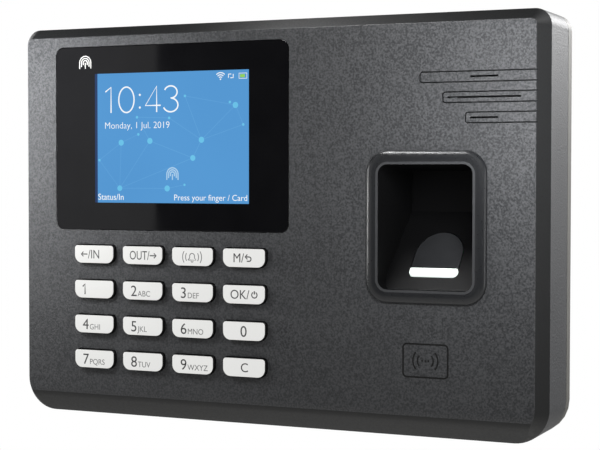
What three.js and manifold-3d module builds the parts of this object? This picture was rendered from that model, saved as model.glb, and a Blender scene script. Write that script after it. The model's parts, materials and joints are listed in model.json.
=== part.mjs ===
// Wall-mounted fingerprint terminal: display and keypad on the left, hooded finger well on the right.
// Millimetres. +X runs to the right as a user faces it, +Y runs back into the wall, +Z is up.
// The origin lies on the wall bracket's back face, behind the centre of the case.
import * as THREE from 'three';
import { mergeVertices } from 'three/addons/utils/BufferGeometryUtils.js';
import Module from 'manifold-3d';

const wasm = await Module();
wasm.setup();

// ---------------------------------------------------------------- driving dimensions
const FIT = 0.3; // gap between pieces that touch
const CURVE_STEPS = 3; // an outline's quarter turns get twice this many straight steps
const SMALL_CURVE_STEPS = 1; // the same on small outlines

// Case
const BODY_WIDTH = 186;
const BODY_HEIGHT = 131.1;
const BODY_DEPTH = 28.6; // rear rim to front face
const WALL_GAP = 0.4; // rear rim to the wall
const BACK_CASE_DEPTH = 4.4; // the strip of side that the back case forms
const CASE_WALL = 2.2;
const FRONT_WALL = 3;
const REAR_WALL = 2;
const CHAMFER_IN = 3.5; // chamfer round the front, across the face
const CHAMFER_DEEP = 5; // and along the side
const FACE_CORNER_TOP = 1.7; // corner radii of the flat front face
const FACE_CORNER_LOW = 7.5;
const SLOPE_HEIGHT = 9.5; // the rounded slope along the lower edge
const SLOPE_CREASE_UP = 5; // its crease, above the lower edge
const SLOPE_CREASE_DEEP = 1.1; // and behind the front face

// Display
const WINDOW_WIDTH = 87.4;
const WINDOW_HEIGHT = 61.7;
const WINDOW_THICK = 1.5;
const WINDOW_CORNER = 3;
const WINDOW_FROM_LEFT = 14.8;
const WINDOW_FROM_TOP = 6.75;
const WINDOW_LEDGE = 3; // width of the ledge that the window is glued to
const SCREEN_WIDTH = 57.6; // lit area
const SCREEN_HEIGHT = 43.2;
const SCREEN_SHIFT_X = 0.7; // lit area's centre from the window's centre
const SCREEN_BORDER = 3.4; // glass and frame beyond the lit area
const PANEL_THICK = 1.8;
const BACKLIGHT_THICK = 2.5;

// Keys
const KEY_WIDTH = 14.95;
const KEY_HEIGHT = 5.9;
const KEY_PROUD = 1.6;
const KEY_GAP = 0.35; // all round a key in its opening
const KEY_CORNER_TOP = 1;
const KEY_CORNER_LOW = 2.6;
const KEY_EDGE = 0.35; // small bevel round a key's face
const KEY_FLANGE = 0.8; // keeps the key in, all round
const KEY_FLANGE_THICK = 1.2;
const KEY_TRAVEL = 1;
const KEY_SPACE_X = 3.81; // between one key and the next, across
const KEY_SPACE_Z = 5.89; // and up
const KEY_FIRST_X = 15.8; // first column's centre from the window's left edge
const KEY_FIRST_Z = 8.15; // first row's centre below the window's lower edge
const KEY_ROWS = [
  ['in', 'out', 'bell', 'menu'],
  ['1', '2', '3', 'ok'],
  ['4', '5', '6', '0'],
  ['7', '8', '9', 'clear'],
];
const DOME_RADIUS = 2.6;
const DOME_HEIGHT = 0.5;
const MAT_THICK = 1;

// Finger well
const WELL_EDGE_FROM_RIGHT = 53.35; // the opening's left edge from the case's right side
const WELL_CENTRE_Z = -0.35;
const WELL_WIDTH = 31.2; // opening
const WELL_HEIGHT = 39.2;
const WELL_CORNER = 3;
const WELL_LINER = 1.3; // liner wall, and the width of its lip
const WELL_DEEP = 24.5; // front face to the back of the well
const WELL_DRAFT = 2.2; // how far each side leans in
const WELL_BACK_LOW = 4.3; // where the sloped floor meets the back, above the centre
const WELL_SILL_DEEP = 2; // front face to the sloped floor's lower edge
const WELL_UNDER_FLOOR = 1.9; // floor wall, measured straight down
const RIDGE_WIDTH = 2.6; // raised ridge round the liner
const RIDGE_PROUD = 1.5;
const LIP_PROUD = 1.3;

// Fingerprint sensor, on the sloped floor
const PLATEN_WIDTH = 15.5;
const PLATEN_LENGTH = 18;
const PLATEN_ARCH = 9; // length of its half-elliptic upper part
const PLATEN_CORNER = 1.5;
const PLATEN_DEEP = 12.15; // front face to the platen's centre
const PLATEN_THICK = 3.6;
const PLATEN_PROUD = 0.4;
const LIGHT_BAR_LENGTH = 3;
const LIGHT_BAR_THICK = 2.2;
const LIGHT_BAR_PROUD = 0.7;
const SENSOR_BOARD_WIDTH = 22;
const SENSOR_ARRAY_THICK = 1.2;
const SENSOR_RIBBON_WIDTH = 7;
const SENSOR_RIBBON_BELOW = 3; // the well's lower edge to the ribbon

// Speaker and card reader
const SPEAKER_RADIUS = 12;
const SPEAKER_DEEP = 4.7;
const SPEAKER_RIM = 1.5; // width of the flat rim
const SPEAKER_RIM_DEEP = 1.8;
const SPEAKER_CONE_EDGE = 0.6; // rim's front to the cone's edge
const SPEAKER_CONE_DEEP = 2.6; // and to its deepest ring
const SPEAKER_CAP_RADIUS = 4;
const SPEAKER_CAP_DEEP = 2.2;
const SPEAKER_MAGNET_RADIUS = 7.5;
const SPEAKER_FROM_RIGHT = 19;
const SPEAKER_FROM_TOP = 26.35;
const GASKET_THICK = 0.8;
const GRILLE_TAB_HEIGHT = 3.6;
const GRILLE_TAB_PITCH = 6.2;
const GRILLE_GROOVE_WIDTH = 0.4;
const GRILLE_GROOVE_DEEP = 0.6;
const GRILLE_TAB_LENGTHS = [40, 32.6, 25.4]; // from the side of the case, top row first
const GRILLE_SLOT_HEIGHT = 0.55;
const GRILLE_SLOT_ENDS = [[23.8, 15], [31, 8], [23.8, 15]]; // from the side of the case
const CARD_BOARD_WIDTH = 27;
const CARD_BOARD_HEIGHT = 28;
const CARD_BOARD_UP = 9.5; // above the lower edge
const CARD_CHIP = { size: 8, thick: 1, up: 9 };
const LEAD_RADIUS = 0.9; // the speaker's and the battery's leads

// Wall bracket and its screws
const BRACKET_WIDTH = 66;
const BRACKET_HEIGHT = 100;
const BRACKET_THICK = 1.5;
const BRACKET_ROOM = 0.8; // round the bracket in the back case
const LIFT = 7; // how far the terminal rises to come off its hooks
const HOOK_WIDTH = 12;
const HOOK_X = 20;
const HOOK_Z = 20;
const HOOK_TONGUE = 9;
const FLANGE_WIDTH = 20;
const FLANGE_REACH = 14.5;
const WALL_SLOT_WIDTH = 4.5;
const WALL_SLOT_LENGTH = 9;
const WALL_SLOT_X = 26;
const WALL_SLOT_Z = 41;
const CABLE_HOLE_WIDTH = 32;
const CABLE_HOLE_LOW = -42;
const CABLE_HOLE_HIGH = -16;
const CABLE_BAY_SIDE = 16; // the bay's width each side of the flange

// Boards and fixings
const BOARD_THICK = 1.6;
const MAIN_BOARD_DEEP = 11.4; // front face to the main board's front
const MAIN_BOARD_FROM_LEFT = 5.5;
const MAIN_BOARD_FROM_TOP = 15.5;
const MAIN_BOARD_FROM_WELL = 6;
const MAIN_BOARD_LOW = -44;
const SOCKET_LOW = -38; // lower ends of the sockets
const NETWORK = { left: -24, width: 16, height: 16, deep: 9.5, wall: 2, floor: 1.4, mouth: 6.6, long: 12 };
const NETWORK_LATCH = { width: 6, deep: 9 };
const USB = { left: -4.5, width: 13, height: 14, deep: 6.5, wall: 0.6, long: 12 };
const USB_TONGUE = { inset: 0.7, front: 2, thick: 1.8, up: 1.5 };
const TERMINALS = { left: 11, ways: 3, pitch: 5, height: 8, deep: 8.6, screwDeep: 5.6, screwUp: 4 };
const TERMINAL_HOLE = { half: 1.5, front: 1.5, deep: 3.5, long: 5 };
const SHIELD = { half: 12, low: 2, high: 26, corner: 1, thick: 2.5 };
const WIRELESS = { fromLeft: 14, width: 18, low: 33, high: 46, thick: 2.6 };
const RELAY = { fromRight: 2.35, width: 13.5, low: -9.5, high: 7.5, corner: 0.8, deep: 9.5, edge: 0.5 };
const BATTERY = { fromLeft: 7, width: 43, low: -21, high: 30, corner: 2, thick: 7.5, edge: 1, edgeDeep: 1.5 };
const COIN_CELL = { x: -22, z: 36, radius: 10, thick: 3.2 };
const CELL_HOLDER = { wall: 1.1, floor: 1, deep: 4.4 };
const LCD_RIBBON = { half: 10, thick: 0.4 };
const LABEL = { half: 18, high: 15, thick: 0.25, pocket: 0.6 };
const SCREW_RADIUS = 1.5;
const SCREW_HEAD_RADIUS = 2.7;
const SCREW_HEAD_HEIGHT = 1.8;
const CASE_SCREW_LENGTH = 12;
const BOARD_SCREW_LENGTH = 6;
const LOCK_SCREW_PAST = 2.05; // its end past the bracket's flange
const LOCK_SCREW_DEEP = 9.5; // lock screw's axis in front of the wall
const BOSS_RADIUS = 3.5;
const BOSS_FROM_SIDE = 9;
const BOSS_FROM_END = 8.5;
const BOARD_SCREW_INSET = 4;
const TAMPER_Z = 40;
const PLUNGER_RADIUS = 1.6;
const PLUNGER_TRAVEL = 0.8;
const PLUNGER_TIP = 0.8; // length of its tapered end
const TAMPER = { half: 4, deep: 7, bore: 3.2 };

// ---------------------------------------------------------------- planes and places
const LEFT = -BODY_WIDTH / 2;
const RIGHT = BODY_WIDTH / 2;
const LOW = -BODY_HEIGHT / 2;
const TOP = BODY_HEIGHT / 2;
const REAR = -WALL_GAP;
const FRONT = REAR - BODY_DEPTH;
const PARTING = REAR - BACK_CASE_DEPTH;
const FRONT_INSIDE = FRONT + FRONT_WALL;
const REAR_INSIDE = REAR - REAR_WALL;
const RECESS_OUT = -BRACKET_THICK - FIT; // outer face of the bracket's recess
const RECESS_IN = RECESS_OUT - REAR_WALL;
const RECESS_HALF = BRACKET_WIDTH / 2 + BRACKET_ROOM;
const RECESS_LOW = -BRACKET_HEIGHT / 2 - LIFT - BRACKET_ROOM;
const RECESS_HIGH = BRACKET_HEIGHT / 2 + BRACKET_ROOM;
const WINDOW_LEFT = LEFT + WINDOW_FROM_LEFT;
const WINDOW_RIGHT = WINDOW_LEFT + WINDOW_WIDTH;
const WINDOW_TOP = TOP - WINDOW_FROM_TOP;
const WINDOW_LOW = WINDOW_TOP - WINDOW_HEIGHT;
const SCREEN_X = (WINDOW_LEFT + WINDOW_RIGHT) / 2 + SCREEN_SHIFT_X;
const SCREEN_Z = (WINDOW_TOP + WINDOW_LOW) / 2;
const KEY_PITCH_X = KEY_WIDTH + KEY_SPACE_X;
const KEY_PITCH_Z = KEY_HEIGHT + KEY_SPACE_Z;
const KEY_FLANGE_FRONT = FRONT_INSIDE + FIT;
const KEY_FLANGE_BACK = KEY_FLANGE_FRONT + KEY_FLANGE_THICK;
const MAT_FRONT = KEY_FLANGE_BACK + KEY_TRAVEL + FIT + DOME_HEIGHT;
const KEY_BOARD_FRONT = MAT_FRONT + MAT_THICK + FIT;
const WELL_X = RIGHT - WELL_EDGE_FROM_RIGHT + WELL_WIDTH / 2;
const WELL_TOP = WELL_CENTRE_Z + WELL_HEIGHT / 2;
const WELL_LOW = WELL_CENTRE_Z - WELL_HEIGHT / 2;
const WELL_BACK = FRONT + WELL_DEEP;
const LINER_HALF = WELL_WIDTH / 2 + WELL_LINER;
const FLOOR_RUN = WELL_DEEP - WELL_SILL_DEEP;
const FLOOR_RISE = WELL_CENTRE_Z + WELL_BACK_LOW - WELL_LOW;
const FLOOR_ANGLE = Math.atan2(FLOOR_RISE, FLOOR_RUN);
const SPEAKER_X = RIGHT - SPEAKER_FROM_RIGHT;
const SPEAKER_Z = TOP - SPEAKER_FROM_TOP;
const MAIN_BOARD_FRONT = FRONT + MAIN_BOARD_DEEP;
const MAIN_BOARD_BACK = MAIN_BOARD_FRONT + BOARD_THICK;
const ON_BOARD = MAIN_BOARD_BACK + FIT; // where parts on the main board start
const MAIN_BOARD_LEFT = LEFT + MAIN_BOARD_FROM_LEFT;
const MAIN_BOARD_RIGHT = WELL_X - LINER_HALF - MAIN_BOARD_FROM_WELL;
const MAIN_BOARD_TOP = TOP - MAIN_BOARD_FROM_TOP;
const FLANGE_TOP = -BRACKET_HEIGHT / 2 + BRACKET_THICK;
const LOCK_SCREW_HEAD = LOW + SCREW_HEAD_HEIGHT + FIT; // where its head meets the case
const LOCK_SCREW_LENGTH = FLANGE_TOP + LOCK_SCREW_PAST - LOCK_SCREW_HEAD;

// ---------------------------------------------------------------- finishes
function finish(color, roughness, metalness = 0) {
  return new THREE.MeshStandardMaterial({ color, roughness, metalness });
}

const GREY_CASE = finish('#7c7c7e', 0.6);
const BACK_GREY = finish('#8d8c89', 0.65);
const BLACK_GLOSS = finish('#1c1c20', 0.08);
const SCREEN_GLASS = finish('#4e93cc', 0.15);
const KEY_WHITE = finish('#f0f0ee', 0.45);
const BLACK_MATT = finish('#141415', 0.55);
const OPTICAL_GLASS = finish('#5b5e60', 0.08);
const LIT_WHITE = finish('#f4f6f4', 0.4);
const RUBBER_GREY = finish('#5a5c5e', 0.85);
const BOARD_GREEN = finish('#1f5a38', 0.5);
const STEEL = finish('#a9abac', 0.35, 1);
const SILVER_CELL = finish('#c3c5c6', 0.25, 1);
const PART_BLACK = finish('#202122', 0.5);
const CONNECTOR_GREEN = finish('#2f8a4b', 0.5);
const RELAY_BLUE = finish('#2a5db0', 0.4);
const FOIL_SILVER = finish('#b9babb', 0.5, 0.6);
const RIBBON_BROWN = finish('#8a5a24', 0.5);
const LABEL_WHITE = finish('#e9e9e6', 0.7);
const LEAD_BLACK = finish('#232323', 0.6);

// ---------------------------------------------------------------- shape helpers
// Turns a closed three.js geometry into a manifold solid.
function solidOf(geometry) {
  const bare = geometry.clone();
  bare.deleteAttribute('normal');
  bare.deleteAttribute('uv');
  const merged = mergeVertices(bare, 1e-5);
  const vertProperties = new Float32Array(merged.attributes.position.array);
  const triVerts = new Uint32Array(merged.index.array);
  return new wasm.Manifold(new wasm.Mesh({ numProp: 3, vertProperties, triVerts }));
}

// And back into a three.js geometry.
function geometryOf(solid) {
  const mesh = solid.getMesh();
  const geometry = new THREE.BufferGeometry();
  geometry.setAttribute('position', new THREE.BufferAttribute(mesh.vertProperties, 3));
  geometry.setIndex(new THREE.BufferAttribute(mesh.triVerts, 1));
  geometry.computeVertexNormals();
  return geometry;
}

// A rectangle in X and Z with rounded corners; the lower two may have a radius of their own.
function roundedRect(x0, x1, z0, z1, topRadius, lowRadius = topRadius) {
  const shape = new THREE.Shape();
  shape.absarc(x1 - lowRadius, z0 + lowRadius, lowRadius, -Math.PI / 2, 0);
  shape.absarc(x1 - topRadius, z1 - topRadius, topRadius, 0, Math.PI / 2);
  shape.absarc(x0 + topRadius, z1 - topRadius, topRadius, Math.PI / 2, Math.PI);
  shape.absarc(x0 + lowRadius, z0 + lowRadius, lowRadius, Math.PI, Math.PI * 1.5);
  shape.closePath();
  return shape;
}

function box(x0, x1, y0, y1, z0, z1) {
  const geometry = new THREE.BoxGeometry(x1 - x0, y1 - y0, z1 - z0);
  return solidOf(geometry.translate((x0 + x1) / 2, (y0 + y1) / 2, (z0 + z1) / 2));
}

// An outline in X and Z, as a slab from yFront to yBack.
function slab(outline, yFront, yBack, curveSegments = CURVE_STEPS) {
  const options = { depth: yBack - yFront, bevelEnabled: false, curveSegments };
  return solidOf(new THREE.ExtrudeGeometry(outline, options).rotateX(Math.PI / 2).translate(0, yBack, 0));
}

// A slab whose front has this outline, and whose sides spread by `out` over a depth of `deep`.
function flaredSlab(outline, yFront, yBack, out, deep, bevelSegments = 1, curveSegments = CURVE_STEPS) {
  const options = {
    depth: yBack - yFront - deep,
    bevelThickness: deep,
    bevelSize: out,
    bevelSegments,
    curveSegments,
  };
  const geometry = new THREE.ExtrudeGeometry(outline, options).rotateX(Math.PI / 2).translate(0, yBack, 0);
  const reach = BODY_WIDTH + BODY_HEIGHT;
  return solidOf(geometry).subtract(box(-reach, reach, yBack, yBack + deep + 1, -reach, reach));
}

// An outline of [y, z] points, run along X.
function bar(points, x0, x1) {
  const outline = new THREE.Shape(points.map(([y, z]) => new THREE.Vector2(y, z)));
  const geometry = new THREE.ExtrudeGeometry(outline, { depth: x1 - x0, bevelEnabled: false });
  const turn = new THREE.Matrix4().makeBasis(
    new THREE.Vector3(0, 1, 0),
    new THREE.Vector3(0, 0, 1),
    new THREE.Vector3(1, 0, 0),
  );
  return solidOf(geometry.applyMatrix4(turn).translate(x0, 0, 0));
}

function rodY(x, z, radius, y0, y1, sides = 16) {
  const geometry = new THREE.CylinderGeometry(radius, radius, y1 - y0, sides);
  return solidOf(geometry.translate(x, (y0 + y1) / 2, z));
}

function rodZ(x, y, radius, z0, z1, sides = 16) {
  const geometry = new THREE.CylinderGeometry(radius, radius, z1 - z0, sides).rotateX(Math.PI / 2);
  return solidOf(geometry.translate(x, y, (z0 + z1) / 2));
}

// A round tube along a smooth curve through the points.
function tube(points, radius, steps) {
  const path = new THREE.CatmullRomCurve3(points.map((point) => new THREE.Vector3(...point)));
  const section = new THREE.Shape().absarc(0, 0, radius, 0, Math.PI * 2);
  return solidOf(new THREE.ExtrudeGeometry(section, { steps, extrudePath: path, curveSegments: 4 }));
}

const together = (solids) => solids.reduce((all, next) => all.add(next));

const terminal = new THREE.Group();

// Adds a solid to the scene as one named mesh.
function place(name, solid, material, parent = terminal) {
  const mesh = new THREE.Mesh(geometryOf(solid), material);
  mesh.name = name;
  parent.add(mesh);
  return mesh;
}

// ---------------------------------------------------------------- places that several pieces share
const caseBosses = [];
for (const side of [-1, 1]) {
  for (const end of [-1, 1]) {
    caseBosses.push([side * (RIGHT - BOSS_FROM_SIDE), end * (TOP - BOSS_FROM_END)]);
  }
}

const boardBosses = [];
for (const x of [MAIN_BOARD_LEFT + BOARD_SCREW_INSET, MAIN_BOARD_RIGHT - BOARD_SCREW_INSET]) {
  for (const z of [MAIN_BOARD_LOW + BOARD_SCREW_INSET, MAIN_BOARD_TOP - BOARD_SCREW_INSET]) {
    boardBosses.push([x, z]);
  }
}

const keyPlaces = [];
KEY_ROWS.forEach((row, down) => {
  row.forEach((name, across) => {
    const x = WINDOW_LEFT + KEY_FIRST_X + across * KEY_PITCH_X;
    const z = WINDOW_LOW - KEY_FIRST_Z - down * KEY_PITCH_Z;
    keyPlaces.push({ name, x, z });
  });
});

// A key's outline, grown on every side.
function keyOutline(x, z, grow = 0) {
  const halfWidth = KEY_WIDTH / 2 + grow;
  const halfHeight = KEY_HEIGHT / 2 + grow;
  const top = Math.max(KEY_CORNER_TOP + grow, 0.2);
  const low = Math.max(KEY_CORNER_LOW + grow, 0.2);
  return roundedRect(x - halfWidth, x + halfWidth, z - halfHeight, z + halfHeight, top, low);
}

// The well's outline, grown on every side.
function wellOutline(grow) {
  const half = WELL_WIDTH / 2 + grow;
  return roundedRect(WELL_X - half, WELL_X + half, WELL_LOW - grow, WELL_TOP + grow, WELL_CORNER + grow);
}

// The window's outline, shrunk on every side.
function windowOutline(shrink) {
  const x0 = WINDOW_LEFT + shrink;
  const x1 = WINDOW_RIGHT - shrink;
  return roundedRect(x0, x1, WINDOW_LOW + shrink, WINDOW_TOP - shrink, Math.max(WINDOW_CORNER - shrink, 0.5));
}

// The flat front face's outline, shrunk on every side.
function faceOutline(shrink) {
  const edge = CHAMFER_IN + shrink;
  const top = Math.max(FACE_CORNER_TOP - shrink, 0.5);
  const low = Math.max(FACE_CORNER_LOW - shrink, 0.5);
  return roundedRect(LEFT + edge, RIGHT - edge, LOW + edge, TOP - edge, top, low);
}

// The case's outer outline, shrunk on every side.
const caseOutline = (shrink) => faceOutline(shrink - CHAMFER_IN);

// ---------------------------------------------------------------- case
// What the rounded slope along the lower edge takes off the front case.
function lowerSlope() {
  const crease = new THREE.Vector2(FRONT + SLOPE_CREASE_DEEP, LOW + SLOPE_CREASE_UP);
  const start = new THREE.Vector2(FRONT, LOW + SLOPE_HEIGHT);
  const bend = new THREE.Vector2(FRONT, (start.y + crease.y) / 2);
  const rounded = new THREE.QuadraticBezierCurve(start, bend, crease).getPoints(4);
  const points = [
    [FRONT - 1, LOW + SLOPE_HEIGHT],
    ...rounded.map((point) => [point.x, point.y]),
    [FRONT + CHAMFER_DEEP, LOW],
    [FRONT + CHAMFER_DEEP, LOW - 1],
    [FRONT - 1, LOW - 1],
  ];
  return bar(points, LEFT - 1, RIGHT + 1);
}

// The grooves round the three long strips in front of the speaker, and each strip's narrow slot.
function speakerGrille() {
  return together(GRILLE_TAB_LENGTHS.map((length, row) => {
    const z = SPEAKER_Z + (1 - row) * GRILLE_TAB_PITCH;
    const strip = (grow) => {
      const half = GRILLE_TAB_HEIGHT / 2 + grow;
      const outline = roundedRect(RIGHT - length - grow, RIGHT + 9, z - half, z + half, 1 + grow);
      return slab(outline, FRONT - 1, FRONT + GRILLE_GROOVE_DEEP, SMALL_CURVE_STEPS);
    };
    const groove = strip(0).subtract(strip(-GRILLE_GROOVE_WIDTH));
    const [slotStart, slotEnd] = GRILLE_SLOT_ENDS[row];
    const slotHalf = GRILLE_SLOT_HEIGHT / 2;
    const across = [RIGHT - slotStart, RIGHT - slotEnd];
    return groove.add(box(...across, FRONT - 1, FRONT_INSIDE + 1, z - slotHalf, z + slotHalf));
  }));
}

function frontCase() {
  const cavity = flaredSlab(faceOutline(CASE_WALL), FRONT_INSIDE, PARTING + 1, CHAMFER_IN, CHAMFER_DEEP);
  let shell = flaredSlab(faceOutline(0), FRONT, PARTING, CHAMFER_IN, CHAMFER_DEEP).subtract(cavity);
  for (const [x, z] of caseBosses) {
    shell = shell.add(rodY(x, z, BOSS_RADIUS, FRONT + FRONT_WALL / 2, PARTING));
  }
  for (const [x, z] of boardBosses) {
    shell = shell.add(rodY(x, z, BOSS_RADIUS, FRONT + FRONT_WALL / 2, MAIN_BOARD_FRONT - FIT));
  }
  const lockBossTop = LOW + SCREW_HEAD_HEIGHT + FIT * 2 + FRONT_WALL;
  const rim = wellOutline(WELL_LINER);
  const ridge = flaredSlab(rim, FRONT - RIDGE_PROUD, FRONT + 1, RIDGE_WIDTH, RIDGE_PROUD, 3);
  shell = shell
    .add(rodZ(0, -LOCK_SCREW_DEEP, BOSS_RADIUS + 0.7, LOW + CASE_WALL / 2, lockBossTop))
    .add(ridge)
    .subtract(lowerSlope())
    .subtract(slab(windowOutline(0), FRONT - 1, FRONT + WINDOW_THICK + FIT))
    .subtract(slab(windowOutline(WINDOW_LEDGE), FRONT - 1, FRONT_INSIDE + 1))
    .subtract(slab(wellOutline(WELL_LINER), FRONT - RIDGE_PROUD - 1, FRONT_INSIDE + 1))
    .subtract(speakerGrille());
  for (const { x, z } of keyPlaces) {
    shell = shell.subtract(slab(keyOutline(x, z, KEY_GAP), FRONT - 1, FRONT_INSIDE + 1, 2));
  }
  const hole = SCREW_RADIUS + FIT;
  for (const [x, z] of caseBosses) {
    const holeFront = REAR - CASE_SCREW_LENGTH - SCREW_HEAD_HEIGHT - 2;
    shell = shell.subtract(rodY(x, z, hole, holeFront, PARTING + 1, 12));
  }
  for (const [x, z] of boardBosses) {
    const holeFront = MAIN_BOARD_BACK - BOARD_SCREW_LENGTH - 1;
    shell = shell.subtract(rodY(x, z, hole, holeFront, MAIN_BOARD_FRONT, 12));
  }
  const counterbore = LOW + SCREW_HEAD_HEIGHT + FIT * 2;
  return shell
    .subtract(rodZ(0, -LOCK_SCREW_DEEP, SCREW_HEAD_RADIUS + FIT, LOW - 1, counterbore))
    .subtract(rodZ(0, -LOCK_SCREW_DEEP, hole, LOW, lockBossTop + 1, 12));
}

function backCase() {
  const front = PARTING + FIT;
  const recess = [-RECESS_HALF, RECESS_HALF];
  const floor = [-RECESS_HALF - REAR_WALL, RECESS_HALF + REAR_WALL];
  let shell = slab(caseOutline(0), front, REAR)
    .subtract(slab(caseOutline(CASE_WALL), front - 1, REAR_INSIDE))
    .add(box(...floor, RECESS_IN, REAR_INSIDE + 0.5, RECESS_LOW - REAR_WALL, RECESS_HIGH + REAR_WALL))
    .subtract(box(...recess, RECESS_OUT, 1, RECESS_LOW, RECESS_HIGH));
  const bayHalf = FLANGE_WIDTH / 2 + CABLE_BAY_SIDE;
  shell = shell.subtract(box(-bayHalf, bayHalf, RECESS_IN - 1, 1, RECESS_LOW, CABLE_HOLE_HIGH + 2));
  const slotHalf = HOOK_WIDTH / 2 + 0.5;
  const slotTop = HOOK_Z + BRACKET_THICK + FIT;
  for (const x of [-HOOK_X, HOOK_X]) {
    const slotLow = HOOK_Z - LIFT - BRACKET_ROOM;
    shell = shell.subtract(box(x - slotHalf, x + slotHalf, RECESS_IN - 1, 1, slotLow, slotTop));
  }
  for (const [x, z] of caseBosses) {
    shell = shell
      .add(rodY(x, z, BOSS_RADIUS + 0.5, front, REAR_INSIDE + 0.5))
      .subtract(rodY(x, z, SCREW_HEAD_RADIUS + FIT, REAR - SCREW_HEAD_HEIGHT - FIT * 2, 1))
      .subtract(rodY(x, z, SCREW_RADIUS + FIT, front - 1, 0, 12));
  }
  return shell
    .subtract(rodY(0, TAMPER_Z, PLUNGER_RADIUS + 0.5, RECESS_IN - 1, 1, 12))
    .subtract(box(...labelSpan(FIT), REAR - LABEL.pocket, 1, -LABEL.high - FIT, LABEL.high + FIT));
}

// The rating label's place across the back case.
function labelSpan(grow) {
  const centre = (LEFT + CASE_WALL - RECESS_HALF) / 2;
  return [centre - LABEL.half - grow, centre + LABEL.half + grow];
}

function ratingLabel() {
  const front = REAR - LABEL.pocket + FIT;
  return box(...labelSpan(0), front, front + LABEL.thick, -LABEL.high, LABEL.high);
}

// ---------------------------------------------------------------- display
function lcdPanel(thick, yFront, border) {
  const halfWidth = SCREEN_WIDTH / 2 + border;
  const halfHeight = SCREEN_HEIGHT / 2 + border;
  const z = [SCREEN_Z - halfHeight, SCREEN_Z + halfHeight];
  return slab(roundedRect(SCREEN_X - halfWidth, SCREEN_X + halfWidth, ...z, 0.6), yFront, yFront + thick, 1);
}

// Flat cable from the panel's lower edge back to the main board.
function lcdRibbon() {
  const panelLow = SCREEN_Z - SCREEN_HEIGHT / 2 - SCREEN_BORDER - FIT;
  const start = FRONT + WINDOW_THICK + FIT + PANEL_THICK;
  const end = MAIN_BOARD_FRONT - FIT;
  const { half, thick } = LCD_RIBBON;
  const points = [
    [start, panelLow],
    [start, panelLow - 2],
    [end - thick, panelLow - 3],
    [end - thick, panelLow + 6],
    [end, panelLow + 6],
    [end, panelLow - 3.5],
    [start - thick, panelLow - 2.5],
    [start - thick, panelLow],
  ];
  return bar(points.reverse(), SCREEN_X - half, SCREEN_X + half);
}

// ---------------------------------------------------------------- keypad
function keyCap(x, z) {
  const face = keyOutline(x, z, -KEY_EDGE);
  const grow = KEY_GAP + KEY_FLANGE;
  return flaredSlab(face, FRONT - KEY_PROUD, KEY_FLANGE_FRONT + 0.5, KEY_EDGE, KEY_EDGE, 1, 2)
    .add(slab(keyOutline(x, z, grow), KEY_FLANGE_FRONT, KEY_FLANGE_BACK, SMALL_CURVE_STEPS));
}

// Rectangle behind all the keys, grown on every side, as [x0, x1, z0, z1].
function keypadSpan(grow) {
  const xs = keyPlaces.map((key) => key.x);
  const zs = keyPlaces.map((key) => key.z);
  const acrossHalf = KEY_WIDTH / 2 + grow;
  const upHalf = KEY_HEIGHT / 2 + grow;
  return [
    Math.min(...xs) - acrossHalf,
    Math.max(...xs) + acrossHalf,
    Math.min(...zs) - upHalf,
    Math.max(...zs) + upHalf,
  ];
}

function keypadMat() {
  const sheet = slab(roundedRect(...keypadSpan(1), 1.5), MAT_FRONT, MAT_FRONT + MAT_THICK, SMALL_CURVE_STEPS);
  const domeFront = MAT_FRONT - DOME_HEIGHT;
  const domes = keyPlaces.map(({ x, z }) => rodY(x, z, DOME_RADIUS, domeFront, MAT_FRONT + 0.5, 8));
  return together([sheet, ...domes]);
}

function keypadBoard() {
  const outline = roundedRect(...keypadSpan(1.5), 1);
  return slab(outline, KEY_BOARD_FRONT, KEY_BOARD_FRONT + BOARD_THICK, SMALL_CURVE_STEPS);
}

// ---------------------------------------------------------------- finger well
// The sloped floor's height at a depth, in the well's middle plane.
const floorZ = (y) => WELL_LOW + (y - FRONT - WELL_SILL_DEEP) * (FLOOR_RISE / FLOOR_RUN);

// The platen's own frame: its Y runs up the floor, its Z straight out of it.
const platenFrame = new THREE.Group();
platenFrame.position.set(WELL_X, FRONT + PLATEN_DEEP, floorZ(FRONT + PLATEN_DEEP));
platenFrame.rotation.x = FLOOR_ANGLE;
platenFrame.updateMatrix();
terminal.add(platenFrame);

// The arched outline that the platen and its light bar fill, grown on every side, as geometry
// between two heights above the floor.
function platenArch(grow, z0, z1) {
  const half = PLATEN_WIDTH / 2 + grow;
  const low = -PLATEN_LENGTH / 2 - grow;
  const arch = PLATEN_ARCH + grow;
  const corner = PLATEN_CORNER + grow;
  const spring = PLATEN_LENGTH / 2 - PLATEN_ARCH;
  const outline = new THREE.Shape();
  outline.absarc(half - corner, low + corner, corner, -Math.PI / 2, 0);
  outline.absellipse(0, spring, half, arch, 0, Math.PI);
  outline.absarc(corner - half, low + corner, corner, Math.PI, Math.PI * 1.5);
  outline.closePath();
  const options = { depth: z1 - z0, bevelEnabled: false, curveSegments: 6 };
  return new THREE.ExtrudeGeometry(outline, options).translate(0, 0, z0);
}

function platenBlock(halfWidth, y0, y1, z0, z1) {
  const geometry = new THREE.BoxGeometry(halfWidth * 2, y1 - y0, z1 - z0);
  return geometry.translate(0, (y0 + y1) / 2, (z0 + z1) / 2);
}

// The window in the sloped floor that the platen and its light bar stand in.
const platenWindow = () => solidOf(platenArch(FIT, -6, 6).applyMatrix4(platenFrame.matrix));

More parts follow.
